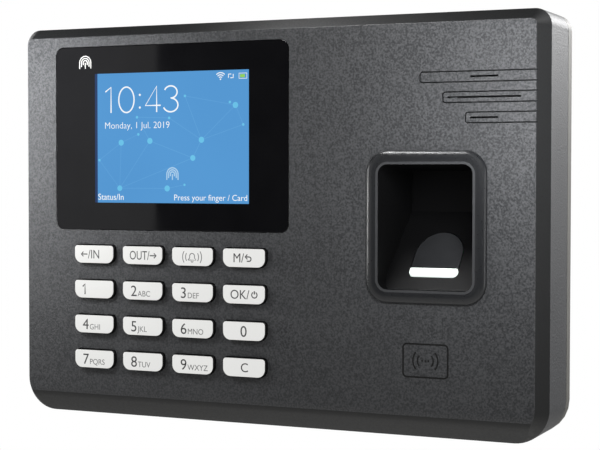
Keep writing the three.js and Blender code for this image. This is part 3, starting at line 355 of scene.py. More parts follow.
# %% Plated metals
def plated_metal(name, dark, light, roughness, streak_mm):
    material, tree, shader, place = start_material(name)
    stretched = node(tree, "ShaderNodeMapping", {"Scale": (1 / streak_mm, 1, 1)}, {"Vector": place})
    streaks = speckle(tree, stretched.outputs["Vector"], 0.35, detail=3.0).outputs["Fac"]
    mottle = speckle(tree, place, 6, detail=4.0).outputs["Fac"]
    tree.links.new(blend_colours(tree, mottle, dark, light), shader.inputs["Base Color"])
    tree.links.new(spread(tree, streaks, roughness - 0.06, roughness + 0.08), shader.inputs["Roughness"])
    roughen(tree, shader, streaks, 0.006)
    shader.inputs["Metallic"].default_value = 1.0
    return material


ZINC_STEEL = plated_metal("zinc_plated_steel", "#9c9ea0", "#b9babb", 0.36, 12)
NICKEL_STEEL = plated_metal("nickel_plated_steel", "#b3b2ae", "#cbcac6", 0.24, 8)
TINNED_SHEET = plated_metal("tinned_sheet", "#a9aaab", "#c0c1c2", 0.42, 3)


# %% [markdown]
# A circuit board is glass-epoxy under green solder mask. Copper tracks show through the mask as slightly
# lighter lines, which a brick pattern gives, and the mask itself is glossy.

# %% Circuit boards and flat cables
def solder_mask():
    material, tree, shader, place = start_material("green_solder_mask")
    turned = node(tree, "ShaderNodeMapping", {"Rotation": (pi / 2, 0, 0)}, {"Vector": place})
    tracks = node(tree, "ShaderNodeTexBrick",
                  {"Color1": linear("#1c5a36"), "Color2": linear("#174c2e"), "Mortar": linear("#2d7a4a"),
                   "Scale": 0.12, "Mortar Size": 0.05, "Bias": 0.1},
                  {"Vector": turned.outputs["Vector"]})
    tree.links.new(tracks.outputs["Color"], shader.inputs["Base Color"])
    cloth = speckle(tree, place, 0.7).outputs["Fac"]
    tree.links.new(spread(tree, cloth, 0.2, 0.32), shader.inputs["Roughness"])
    roughen(tree, shader, tracks.outputs["Fac"], 0.03)
    return material


BOARD_MASK = solder_mask()
RIBBON_FILM = moulded_plastic("polyimide_film", "#8a4c14", "#a05c1c", 0.25, 2.0, 0.01)


# %% [markdown]
# The display window is acrylic, printed black on its back and polished, so it mirrors the room. What
# shows in it is nearly all reflection, with only a trace of unevenness in the gloss.

# %% Window acrylic, lens glass and light guide
def polished(name, dark, light, roughness, ior):
    material, tree, shader, place = start_material(name)
    haze = speckle(tree, place, 14, detail=3.0).outputs["Fac"]
    tree.links.new(blend_colours(tree, haze, dark, light), shader.inputs["Base Color"])
    tree.links.new(spread(tree, haze, roughness, roughness + 0.03), shader.inputs["Roughness"])
    roughen(tree, shader, haze, 0.004, strength=0.3)
    shader.inputs["IOR"].default_value = ior
    return material


WINDOW_ACRYLIC = polished("back_printed_black_acrylic", "#08080a", "#0c0c0e", 0.03, 1.49)
PLATEN_GLASS = polished("polished_prism_glass", "#292a2c", "#333436", 0.06, 1.52)
LIGHT_GUIDE = polished("milky_light_guide", "#e8ebe8", "#f2f4f2", 0.25, 1.5)
guide_shader = LIGHT_GUIDE.node_tree.nodes["Principled BSDF"]
guide_shader.inputs["Emission Color"].default_value = linear("#f2fff8")
guide_shader.inputs["Emission Strength"].default_value = 0.9


# %% [markdown]
# The display shows a blue page. Its glow varies a little from corner to corner, as the lamps along one
# edge of the panel make it, and the glass over it is as glossy as the window.

# %% Display page
def lit(name, dark, light, strength):
    material, tree, shader, place = start_material(name)
    glow = speckle(tree, place, 40, detail=1.0).outputs["Fac"]
    tree.links.new(blend_colours(tree, glow, dark, light), shader.inputs["Emission Color"])
    shader.inputs["Base Color"].default_value = linear("#050608")
    shader.inputs["Emission Strength"].default_value = strength
    shader.inputs["Roughness"].default_value = 0.4
    shader.inputs["Specular IOR Level"].default_value = 0.0
    return material


PAGE_BLUE = lit("lit_blue_page", "#5597d1", "#589bd5", 1.0)
# A dimmer blue, for the painted shadow along the page's left edge.
PAGE_PAINTED_SHADOW = lit("lit_page_painted_shadow", "#2c3f66", "#33476f", 1.0)
PAGE_DOT = lit("lit_cyan_dot", "#69bfe6", "#70c6ea", 1.0)
PAGE_LINE = lit("lit_faint_line", "#62a4da", "#66a9dd", 1.0)
PAGE_WHITE = lit("lit_white", "#f2f8fc", "#ffffff", 1.0)
PAGE_MARK = lit("lit_pale_mark", "#a9cdea", "#b0d2ed", 1.0)
PAGE_GREEN = lit("lit_green", "#93d05a", "#9bd664", 1.0)


# %% [markdown]
# Every solid that is already right keeps its mesh and only takes a material. The finishes follow the
# record's material slots, so one table gives each slot its material.

# %% Materials for the solids
SLOT_MATERIALS = {
    "case_grey": CASE_ABS,
    "back_grey": BACK_ABS,
    "window_black": WINDOW_ACRYLIC,
    "screen": PAGE_BLUE,
    "key_white": KEY_ABS_PAINTED_GLOW,
    "well_black": WELL_ABS,
    "platen_glass": PLATEN_GLASS,
    "light_white": LIGHT_GUIDE,
    "silicone_grey": SILICONE,
    "board_green": BOARD_MASK,
    "zinc_steel": ZINC_STEEL,
    "cell_steel": NICKEL_STEEL,
    "part_black": PART_PLASTIC,
    "terminal_green": TERMINAL_NYLON,
    "relay_blue": RELAY_PLASTIC,
    "foil_silver": TINNED_SHEET,
    "ribbon_amber": RIBBON_FILM,
    "label_white": LABEL_FILM,
    "lead_black": LEAD_PVC,
}
slot_of = {part["node"]: part["material_slot"] for part in frame["record"]["subparts"]}
bodies = frame["record"]["behaviour"]["bodies"]
body_of = {name: body for body, names in bodies.items() for name in names}
for name, piece in frame["nodes"].items():
    piece.data.materials.clear()
    piece.data.materials.append(SLOT_MATERIALS[slot_of[name]])
print("materials on", len(slot_of), "solids")


def finish_piece(piece, body, material):
    piece.data.materials.clear()
    piece.data.materials.append(material)
    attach(piece, body)


# %% [markdown]
# The edges of the solids are knife-sharp, and real ones never are. For the pieces that show from
# outside, a copy of the solid has its loose triangles merged and its flat faces joined, and every sharp
# edge gets a small bevel. The copy then stands in for the solid.

# %% Soft-edged copies of the outside pieces
def soft_copy(node_name, width):
    solid = frame["nodes"][node_name]
    work_on(solid)
    bpy.ops.object.duplicate()
    piece = bpy.context.object
    piece.name = node_name + "_soft"
    piece.parent = None
    pick(piece, "VERT", lambda place: True)
    bpy.ops.mesh.remove_doubles(threshold=0.002 * MM)
    bpy.ops.mesh.dissolve_limited(angle_limit=radians(1))
    bpy.ops.object.mode_set(mode="OBJECT")
    soften_edges(piece, width)
    slot = slot_of[node_name]
    finish_piece(piece, body_of[node_name], SLOT_MATERIALS[slot])
    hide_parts(node_name)
    return piece


SOFT_WIDTHS = {"back_case": 0.35, "wall_bracket": 0.3, "sensor_platen": 0.3, "sensor_light_bar": 0.35}
for name, width in SOFT_WIDTHS.items():
    made = soft_copy(name, width * MM)
    print(made.name, len(made.data.polygons), "faces")


# %% [markdown]
# The front case is one moulding. It starts as a block whose front is 5 mm short, with rounded corners
# that are small at the top and large at the bottom. The front face is inset and pulled forward, which
# leaves the chamfer all round. The rounded slope along the lower edge is then sliced off with a few
# bisecting planes, each along the curve, and a smaller block of the same form hollows out the shell.

# %% Front case: the shell
lens_low, lens_high = (Vector(corner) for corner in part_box("lcd_window"))
case_low, case_high = (Vector(corner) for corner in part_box("front_case"))
well_low, well_high = (Vector(corner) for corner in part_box("finger_well"))
FRONT = lens_low.y
PARTING = case_high.y
LEFT, RIGHT = case_low.x, case_high.x
LOW, TOP = case_low.z, case_high.z
CHAMFER_IN = 3.5 * MM
CHAMFER_DEEP = 5 * MM
CASE_CORNER_TOP = 5.2 * MM
CASE_CORNER_LOW = 11 * MM
CASE_WALL = 2.2 * MM
FRONT_WALL = 3 * MM
SLOPE_HEIGHT = 9.5 * MM
SLOPE_CREASE_UP = 5 * MM
SLOPE_CREASE_DEEP = 1.1 * MM


def chamfered_block(name, low, high, top_radius, low_radius):
    """A rounded block whose front face is drawn in, which leaves a chamfer round it."""
    short = Vector((low[0], low[1] + CHAMFER_DEEP, low[2]))
    piece = rounded_block(name, short, high, top_radius, low_radius, segments=12)
    pick(piece, "FACE", lambda place, normal: normal.y < -0.9)
    bpy.ops.mesh.inset(thickness=CHAMFER_IN)
    bpy.ops.transform.translate(value=(0, -CHAMFER_DEEP, 0))
    bpy.ops.object.mode_set(mode="OBJECT")
    return piece


shell = chamfered_block("front_case_shell", (LEFT, FRONT, LOW), (RIGHT, PARTING, TOP),
                        CASE_CORNER_TOP, CASE_CORNER_LOW)

start = Vector((0, FRONT, LOW + SLOPE_HEIGHT))
crease = Vector((0, FRONT + SLOPE_CREASE_DEEP, LOW + SLOPE_CREASE_UP))
bend = Vector((0, FRONT, (start.z + crease.z) / 2))
SLOPE_STEPS = 5
curve = []
for step in range(SLOPE_STEPS + 1):
    t = step / SLOPE_STEPS
    curve.append(start * (1 - t) ** 2 + bend * 2 * t * (1 - t) + crease * t ** 2)
curve.append(Vector((0, FRONT + CHAMFER_DEEP, LOW)))
pick(shell, "FACE", lambda place, normal: True)
for upper, lower in zip(curve, curve[1:]):
    run = lower - upper
    bpy.ops.mesh.select_all(action="SELECT")
    bpy.ops.mesh.bisect(plane_co=upper, plane_no=(0, run.z, -run.y), use_fill=True, clear_outer=True,
                        threshold=1e-7)
bpy.ops.object.mode_set(mode="OBJECT")

cavity = chamfered_block("cavity", (LEFT + CASE_WALL, FRONT + FRONT_WALL, LOW + CASE_WALL),
                         (RIGHT - CASE_WALL, PARTING + 1 * MM, TOP - CASE_WALL),
                         CHAMFER_IN + 0.5 * MM, CASE_CORNER_LOW - CASE_WALL)
cut_out(shell, [cavity])
print("shell", [round(size / MM, 1) for size in shell.dimensions], "mm")


# %% [markdown]
# Openings come next: the pocket and ledge for the window, sixteen key openings, the mouth of the well,
# the grooves and slots of the speaker grille, and the hole for the locking screw. Each is a rounded
# block set through the front wall, and a Boolean takes them all off at once. The key places come from
# the key solids, less the flange that holds each key in.

# %% Front case: the openings
FIT = 0.3 * MM
WINDOW_CORNER = 3 * MM
WINDOW_LEDGE = 3 * MM
KEY_GAP = 0.35 * MM
KEY_FLANGE = 0.8 * MM
KEY_CORNER_TOP = 1 * MM
KEY_CORNER_LOW = 2.6 * MM
WELL_CORNER = 3 * MM
WELL_LINER = 1.3 * MM
KEY_NAMES = ["in", "out", "bell", "menu", "1", "2", "3", "ok", "4", "5", "6", "0", "7", "8", "9", "clear"]
THROUGH = (FRONT - 2 * MM, FRONT + FRONT_WALL + 1 * MM)


def cutter(x0, x1, z0, z1, depths, top_radius, low_radius=None, segments=8):
    low, high = (x0, depths[0], z0), (x1, depths[1], z1)
    return rounded_block("cutter", low, high, top_radius, low_radius, segments)


def key_face(name):
    """A key's outline at the case's front, from its solid's box: x0, x1, z0, z1."""
    low, high = (Vector(corner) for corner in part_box(f"key_{name}"))
    flange = KEY_GAP + KEY_FLANGE
    return low.x + flange, high.x - flange, low.z + flange, high.z - flange


half_fit = FIT / 2
window = (lens_low.x - half_fit, lens_high.x + half_fit, lens_low.z - half_fit, lens_high.z + half_fit)
pocket = (FRONT - 2 * MM, lens_high.y + FIT)
ledge = (window[0] + WINDOW_LEDGE, window[1] - WINDOW_LEDGE,
         window[2] + WINDOW_LEDGE, window[3] - WINDOW_LEDGE)
openings = [cutter(*ledge, THROUGH, 0.5 * MM, segments=3)]
for name in KEY_NAMES:
    x0, x1, z0, z1 = key_face(name)
    sides = (x0 - KEY_GAP, x1 + KEY_GAP, z0 - KEY_GAP, z1 + KEY_GAP)
    openings.append(cutter(*sides, THROUGH, KEY_CORNER_TOP + KEY_GAP, KEY_CORNER_LOW + KEY_GAP))
mouth = (well_low.x - FIT, well_high.x + FIT, well_low.z - FIT, well_high.z + FIT)
openings.append(cutter(*mouth, THROUGH, WELL_CORNER + WELL_LINER))
print(len(openings), "openings")

# %% Front case: the grille
speaker_low, speaker_high = (Vector(corner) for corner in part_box("speaker"))
SPEAKER_MIDDLE = (speaker_low + speaker_high) / 2
TAB_HEIGHT = 3.6 * MM
TAB_PITCH = 6.2 * MM
GROOVE_WIDTH = 0.4 * MM
GROOVE_DEEP = 0.6 * MM
SLOT_HEIGHT = 0.55 * MM
TAB_LENGTHS = [40 * MM, 32.6 * MM, 25.4 * MM]
SLOT_ENDS = [(23.8 * MM, 15 * MM), (31 * MM, 8 * MM), (23.8 * MM, 15 * MM)]

grille = []
for row, (length, (slot_start, slot_end)) in enumerate(zip(TAB_LENGTHS, SLOT_ENDS)):
    z = SPEAKER_MIDDLE.z + (1 - row) * TAB_PITCH
    half = TAB_HEIGHT / 2
    groove_depths = (FRONT - 1 * MM, FRONT + GROOVE_DEEP)
    tab = cutter(RIGHT - length, RIGHT + 9 * MM, z - half, z + half, groove_depths, 1 * MM, segments=4)
    core = cutter(RIGHT - length + GROOVE_WIDTH, RIGHT + 10 * MM, z - half + GROOVE_WIDTH,
                  z + half - GROOVE_WIDTH, (FRONT - 2 * MM, PARTING), 0.6 * MM, segments=4)
    cut_out(tab, [core])
    slot_half = SLOT_HEIGHT / 2
    slot = cutter(RIGHT - slot_start, RIGHT - slot_end, z - slot_half, z + slot_half, THROUGH,
                  0.25 * MM, segments=3)
    grille += [tab, slot]
cut_out(shell, [cutter(*window, pocket, WINDOW_CORNER)])
cut_out(shell, openings)
cut_out(shell, grille)

LOCK_HOLE = 6 * MM
lock_low, lock_high = (Vector(corner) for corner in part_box("lock_screw"))
lock_middle = (lock_low + lock_high) / 2
clear_selection()
bpy.ops.mesh.primitive_cylinder_add(radius=LOCK_HOLE / 2, depth=8 * MM,
                                    location=(lock_middle.x, lock_middle.y, LOW))
cut_out(shell, [apply_place(bpy.context.object)])
soften_edges(shell, 0.28 * MM)
finish_piece(shell, "terminal", CASE_ABS)
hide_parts("front_case")
print("front case", len(shell.data.polygons), "faces")


# %% [markdown]
# The raised ridge round the well is smoother than the case. It is drawn from its foot inwards: a plane
# with rounded corners, then one inset after another, each lifted a little less than the last, so the
# section is a quarter of an ellipse, with a narrow flat inside it. The middle is deleted at the end,
# where the well's lip sits.

# %% Ridge round the well
RIDGE_WIDTH = 2.6 * MM
RIDGE_PROUD = 1.5 * MM
RIDGE_STEPS = 8
RIDGE_INNER = 0.8 * MM


def rounded_plane(name, x0, x1, z0, z1, y, radius, segments=10):
    """A flat plate with rounded corners that faces -Y."""
    clear_selection()
    middle = ((x0 + x1) / 2, y, (z0 + z1) / 2)
    bpy.ops.mesh.primitive_plane_add(size=1, rotation=(pi / 2, 0, 0), location=middle)
    piece = bpy.context.object
    piece.name = name
    piece.scale = (x1 - x0, z1 - z0, 1)
    apply_place(piece)
    pick(piece, "VERT", lambda place: True)
    bpy.ops.mesh.bevel(offset=radius, segments=segments, affect="VERTICES")
    bpy.ops.object.mode_set(mode="OBJECT")
    return piece


foot = (mouth[0] - RIDGE_WIDTH, mouth[1] + RIDGE_WIDTH, mouth[2] - RIDGE_WIDTH, mouth[3] + RIDGE_WIDTH)
ridge = rounded_plane("well_ridge", *foot, FRONT, WELL_CORNER + WELL_LINER + RIDGE_WIDTH, segments=14)
pick(ridge, "FACE", lambda place, normal: True)
for step in range(RIDGE_STEPS):
    angles = (pi / 2 * step / RIDGE_STEPS, pi / 2 * (step + 1) / RIDGE_STEPS)
    inwards = RIDGE_WIDTH * (cos(angles[0]) - cos(angles[1]))
    lifted = RIDGE_PROUD * (sin(angles[1]) - sin(angles[0]))
    bpy.ops.mesh.inset(thickness=inwards, depth=lifted)
bpy.ops.mesh.inset(thickness=RIDGE_INNER, depth=-0.15 * MM)
bpy.ops.mesh.extrude_region_move(TRANSFORM_OT_translate={"value": (0, RIDGE_PROUD + FRONT_WALL, 0)})
bpy.ops.mesh.delete(type="FACE")
bpy.ops.object.mode_set(mode="OBJECT")
smooth(ridge, 40)
finish_piece(ridge, "terminal", RIDGE_ABS)
print("ridge", [round(size / MM, 1) for size in ridge.dimensions], "mm")

# %% Lip between the ridge and the well
LIP_PLATE = 0.25 * MM
LIP_SIDES = (mouth[0] + RIDGE_INNER, mouth[1] - RIDGE_INNER,
             mouth[2] + RIDGE_INNER, mouth[3] - RIDGE_INNER)
LIP_WIDTH = FIT + WELL_LINER - RIDGE_INNER
lip = rounded_plane("well_lip", *LIP_SIDES, well_low.y - 0.03 * MM, WELL_CORNER + LIP_WIDTH)
pick(lip, "FACE", lambda place, normal: True)
bpy.ops.mesh.inset(thickness=LIP_WIDTH - 0.02 * MM)
bpy.ops.mesh.extrude_region_move(TRANSFORM_OT_translate={"value": (0, LIP_PLATE, 0)})
bpy.ops.mesh.delete(type="FACE")
bpy.ops.object.mode_set(mode="OBJECT")
smooth(lip, 40)
finish_piece(lip, "terminal", LIP_ABS)
print("lip", round(lip.dimensions.x / MM, 1), "mm wide")


# %% [markdown]
# A key is a small block with tight upper corners and round lower ones. It is moulded in two shots: a
# white cap, whose front edges are rolled over, on a dark skirt. The flange behind the case front, which
# stops the key from falling out, is joined to the skirt. One key is modelled, and its two pieces are
# copied to the other fifteen places.

# %% Keys
KEY_EDGE = 0.18 * MM
KEY_CAP_DEEP = 0.25 * MM
FLANGE_FRONT = 1.2 * MM
SKIRT_END = 0.4 * MM


def make_key(name):
    low, high = (Vector(corner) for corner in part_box(f"key_{name}"))
    x0, x1, z0, z1 = key_face(name)
    seam = low.y + KEY_CAP_DEEP
    corners = (KEY_CORNER_TOP, KEY_CORNER_LOW)
    cap = rounded_block(f"key_cap_{name}", (x0, low.y, z0), (x1, seam, z1), *corners)
    pick(cap, "FACE", lambda place, normal: normal.y < -0.9)
    bpy.ops.mesh.region_to_loop()
    bpy.ops.mesh.bevel(offset=KEY_EDGE, segments=4, affect="EDGES")
    bpy.ops.object.mode_set(mode="OBJECT")
    smooth(cap)
    skirt = rounded_block("skirt", (x0, seam, z0), (x1, high.y - SKIRT_END, z1), *corners)
    flange = rounded_block("flange", (low.x, high.y - FLANGE_FRONT, low.z), high, *corners)
    skirt = joined(f"key_skirt_{name}", [skirt, flange])
    smooth(skirt)
    return cap, skirt


def copy_to(piece, name, shift):
    work_on(piece)
    bpy.ops.object.duplicate()
    copy = bpy.context.object
    copy.name = name
    copy.location = shift
    return apply_place(copy)


first_cap, first_skirt = make_key(KEY_NAMES[0])
first_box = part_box(f"key_{KEY_NAMES[0]}")
key_faces = {}
for name in KEY_NAMES:
    cap, skirt = first_cap, first_skirt
    if name != KEY_NAMES[0]:
        shift = Vector(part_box(f"key_{name}")[0]) - Vector(first_box[0])
        cap = copy_to(first_cap, f"key_cap_{name}", shift)
        skirt = copy_to(first_skirt, f"key_skirt_{name}", shift)
    finish_piece(cap, f"button_{name}", KEY_ABS_PAINTED_GLOW)
    finish_piece(skirt, f"button_{name}", KEY_SKIRT_ABS)
    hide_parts(f"key_{name}")
    key_faces[name] = key_face(name)
KEY_FRONT = first_box[0][1]
print(len(key_faces), "keys, front at", round(KEY_FRONT / MM, 2), "mm")


# %% [markdown]
# The print on the keys, the card mark and everything on the display page is flat artwork. Text objects
# give the words, and lines are drawn by extruding one vertex from point to point, then given a width as
# a curve and turned back into a mesh. Each is a film a few hundredths of a millimetre thick, lying on
# the face that it is printed on.

# %% Artwork helpers
FILM = 0.02 * MM


def words(name, text, height, x, z, y, align="LEFT", thin=0.0, narrow=1.0):
    """Text whose capitals are this tall, with its baseline's start, middle or end at x, z."""
    clear_selection()
    bpy.ops.object.text_add()
    piece = bpy.context.object
    piece.name = name
    piece.data.body = text
    piece.data.align_x = align
    piece.data.offset = -thin
    piece.data.extrude = 0.005
    piece.data.resolution_u = 5
    bpy.ops.object.convert(target="MESH")
    size = height / CAPITAL_HEIGHT
    piece.rotation_euler = (pi / 2, 0, 0)
    piece.scale = (size * narrow, size, FILM / 0.01)
    piece.location = (x, y, z)
    return apply_place(piece)


clear_selection()
bpy.ops.object.text_add()
bpy.context.object.data.body = "H"
bpy.context.view_layer.update()
CAPITAL_HEIGHT = bpy.context.object.dimensions.y
bpy.ops.object.delete()
print("capitals are", round(CAPITAL_HEIGHT, 3), "of the text size")


def line(name, points, width, y, closed=False):
    """A printed line through points (x, z)."""
    clear_selection()
    first = Vector((points[0][0], 0, points[0][1]))
    bpy.ops.mesh.primitive_plane_add(size=0.1 * MM, location=first)
    piece = bpy.context.object
    piece.name = name
    pick(piece, "VERT", lambda place: True)
    bpy.ops.mesh.merge(type="CENTER")
    for (x0, z0), (x1, z1) in zip(points, points[1:]):
        bpy.ops.mesh.extrude_region_move(TRANSFORM_OT_translate={"value": (x1 - x0, 0, z1 - z0)})
    bpy.ops.object.mode_set(mode="OBJECT")
    apply_place(piece)
    bpy.ops.object.convert(target="CURVE")
    curve = bpy.context.object
    curve.data.splines[0].use_cyclic_u = closed
    curve.data.bevel_depth = width / 2
    curve.data.bevel_resolution = 1
    curve.data.use_fill_caps = True
    bpy.ops.object.convert(target="MESH")
    piece = bpy.context.object
    piece.scale = (1, FILM / width, 1)
    piece.location = (0, y, 0)
    return apply_place(piece)


def arc(x, z, radius, start, end, steps=12):
    """Points of an arc, with its angles in degrees from +X towards +Z."""
    turns = [radians(start + (end - start) * step / steps) for step in range(steps + 1)]
    return [(x + radius * cos(turn), z + radius * sin(turn)) for turn in turns]


def dot(name, x, z, diameter, y):
    clear_selection()
    bpy.ops.mesh.primitive_cylinder_add(vertices=20, radius=diameter / 2, depth=FILM, location=(x, y, z),
                                        rotation=(pi / 2, 0, 0))
    piece = bpy.context.object
    piece.name = name
    return apply_place(piece)


# %% [markdown]
# Every number key has a dark digit and the telephone letters beside it in a lighter grey. The other keys
# say in or out with an arrow, a bell, menu with a return arrow, OK with a power sign, and clear.

# %% Key print
DIGIT_HEIGHT = 3.45 * MM
LETTER_HEIGHT = 1.8 * MM
WORD_HEIGHT = 2.85 * MM
DIGIT_FROM_LEFT = 3.0 * MM
PRINT_UP = 1.15 * MM
PRINT_Y = KEY_FRONT - FILM / 4
LETTERS = {"2": "ABC", "3": "DEF", "4": "GHI", "5": "JKL", "6": "MNO", "7": "PQRS", "8": "TUV", "9": "WXYZ"}
LINE_WIDTH = 0.42 * MM


def print_on_key(key, piece, material):
    finish_piece(piece, f"button_{key}", material)


for key in "1234567890":
    x0, x1, z0, z1 = key_faces[key]
    align, x = ("CENTER", (x0 + x1) / 2) if key == "0" else ("LEFT", x0 + DIGIT_FROM_LEFT)
    if key == "1":
        z = z0 + PRINT_UP
        one = [(x + 0.1 * MM, z + 2.6 * MM), (x + 1.0 * MM, z + DIGIT_HEIGHT), (x + 1.0 * MM, z)]
        digit = line("digit_1", one, 0.52 * MM, PRINT_Y - FILM / 4)
    else:
        digit = words(f"digit_{key}", key, DIGIT_HEIGHT, x, z0 + PRINT_UP, PRINT_Y, align)
    print_on_key(key, digit, DIGIT_INK)
    if key in LETTERS:
        x = x0 + DIGIT_FROM_LEFT + 2.7 * MM
        letters = words(f"letters_{key}", LETTERS[key], LETTER_HEIGHT, x, z0 + PRINT_UP, PRINT_Y, narrow=0.95)
        print_on_key(key, letters, LETTER_INK)

# %% Key print: words and signs
WORDS = {"in": ("/IN", 5.2, 0.85), "out": ("OUT/", 2.6, 0.76), "menu": ("M/", 3.6, 0.92),
         "ok": ("OK/", 2.6, 0.95), "clear": ("C", 6.3, 1.0)}
for key, (text, from_left, narrow) in WORDS.items():
    x0, x1, z0, z1 = key_faces[key]
    place = (x0 + from_left * MM, z0 + 1.55 * MM, PRINT_Y)
    label = words(f"word_{key}", text, WORD_HEIGHT, *place, narrow=narrow)
    print_on_key(key, label, DIGIT_INK)


def arrow(key, tip_x, tail_x, z, name):
    """A shaft with an open head at its tip."""
    back = 0.8 * MM if tail_x > tip_x else -0.8 * MM
    shaft = line(name, [(tail_x, z), (tip_x, z)], LINE_WIDTH, PRINT_Y)
    head = line("head", [(tip_x + back, z + 0.8 * MM), (tip_x, z), (tip_x + back, z - 0.8 * MM)],
                LINE_WIDTH, PRINT_Y)
    print_on_key(key, joined(name, [shaft, head]), DIGIT_INK)


x0, x1, z0, z1 = key_faces["in"]
arrow("in", x0 + 2.6 * MM, x0 + 5.0 * MM, (z0 + z1) / 2, "arrow_in")
x0, x1, z0, z1 = key_faces["out"]
arrow("out", x1 - 2.2 * MM, x1 - 4.6 * MM, (z0 + z1) / 2, "arrow_out")

x0, x1, z0, z1 = key_faces["menu"]
x, z = x1 - 6.9 * MM, (z0 + z1) / 2 + 0.4 * MM
hook = line("return_hook", [(x, z), (x + 1.4 * MM, z), *arc(x + 1.4 * MM, z - 0.7 * MM, 0.7 * MM, 90, -90),
                            (x + 0.6 * MM, z - 1.4 * MM)], LINE_WIDTH, PRINT_Y)
head = line("head", [(x + 0.8 * MM, z + 0.8 * MM), (x, z), (x + 0.8 * MM, z - 0.8 * MM)], LINE_WIDTH, PRINT_Y)
print_on_key("menu", joined("return_arrow", [hook, head]), DIGIT_INK)

x0, x1, z0, z1 = key_faces["ok"]
x, z = x1 - 3.6 * MM, (z0 + z1) / 2
ring = line("power_ring", arc(x, z, 0.95 * MM, 120, 420, 20), LINE_WIDTH, PRINT_Y)
stem = line("stem", [(x, z + 0.2 * MM), (x, z + 1.25 * MM)], LINE_WIDTH, PRINT_Y)
print_on_key("ok", joined("power_sign", [ring, stem]), DIGIT_INK)

# %% Key print: the bell
x0, x1, z0, z1 = key_faces["bell"]
x, z = (x0 + x1) / 2, (z0 + z1) / 2 - 0.2 * MM
skirt = [(x - 1.5 * MM, z - 0.9 * MM), (x - 0.9 * MM, z - 0.2 * MM), *arc(x, z + 0.4 * MM, 0.9 * MM, 180, 0),
         (x + 0.9 * MM, z - 0.2 * MM), (x + 1.5 * MM, z - 0.9 * MM), (x - 1.5 * MM, z - 0.9 * MM)]
strokes = [skirt, arc(x, z - 1.1 * MM, 0.45 * MM, 200, 340, 6)]
for side, middle in ((0, 0), (1, 180)):
    for radius in (2.4 * MM, 3.5 * MM):
        strokes.append(arc(x, z + 0.1 * MM, radius, middle - 32, middle + 32, 8))
drawn = [line("bell_stroke", points, 0.34 * MM, PRINT_Y) for points in strokes]
print_on_key("bell", joined("bell_sign", drawn), LETTER_INK)
print("key print done")


# %% [markdown]
# The window is a slab of black-printed acrylic with a thin rolled edge. The lit page lies flush in its
# face. A real display sits a millimetre behind its window, so a viewer on the right sees a dark strip of
# shadow at the page's left edge, which is painted on the page as a dimmer blue strip: painted shadow.

# %% Display window and page
lens = rounded_block("display_lens", lens_low, lens_high, WINDOW_CORNER - half_fit, segments=10)
soften_edges(lens, 0.15 * MM)
finish_piece(lens, "terminal", WINDOW_ACRYLIC)
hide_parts("lcd_window")

panel_low, panel_high = (Vector(corner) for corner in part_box("lcd_panel"))
PANEL_BORDER = 3.4 * MM
PAGE_LEFT, PAGE_RIGHT = panel_low.x + PANEL_BORDER, panel_high.x - PANEL_BORDER
PAGE_LOW, PAGE_TOP = panel_low.z + PANEL_BORDER, panel_high.z - PANEL_BORDER
EDGE_STRIP = 0.9 * MM
PAGE_Y = FRONT
page = block("display_page", (PAGE_LEFT, PAGE_Y - FILM, PAGE_LOW), (PAGE_RIGHT, PAGE_Y + FILM, PAGE_TOP))
finish_piece(page, "terminal", PAGE_BLUE)
# Painted shadow: a dimmer blue strip along the page's left edge.
edge = block("display_painted_shadow", (PAGE_LEFT - 0.1 * MM, PAGE_Y - 1.5 * FILM, PAGE_LOW),
             (PAGE_LEFT + EDGE_STRIP, PAGE_Y + FILM, PAGE_TOP))
finish_piece(edge, "terminal", PAGE_PAINTED_SHADOW)
print("page", round((PAGE_RIGHT - PAGE_LEFT) / MM, 1), "x", round((PAGE_TOP - PAGE_LOW) / MM, 1), "mm")

# %% [markdown]
# On the page: the time in thin figures, the day and date, a plain mark, two status lines, three small
# icons, and a pattern of cyan dots joined by faint lines.

# %% Display artwork
ART_Y = PAGE_Y - 2.5 * FILM


def on_page(pieces, name, material):
    finish_piece(joined(name, pieces), "terminal", material)


def page_words(name, text, height, x, z, align="LEFT", thin=0.0):
    piece = words(name, text, height * MM, x * MM, z * MM, ART_Y, align, thin)
    finish_piece(piece, "terminal", PAGE_WHITE)


page_words("page_date", "Monday, 1 Jul. 2019", 2.15, -59, 31.1, thin=0.012)
page_words("page_status", "Status/In", 2.0, -61.6, 7.3)
page_words("page_prompt", "Press your finger / Card", 1.9, -5.4, 7.3, align="RIGHT", thin=0.005)

# The clock's thin figures are drawn as strokes.
CLOCK_LOW, CLOCK_TOP = 36.4 * MM, 44.9 * MM
CLOCK_STROKE = 0.55 * MM


def oval(x0, x1, z0, z1, start, end, steps=28):
    """Points of an ellipse that fills a box, between two angles in degrees."""
    turns = [radians(start + (end - start) * step / steps) for step in range(steps + 1)]
    middle_x, middle_z = (x0 + x1) / 2, (z0 + z1) / 2
    return [(middle_x + (x1 - x0) / 2 * cos(turn), middle_z + (z1 - z0) / 2 * sin(turn)) for turn in turns]


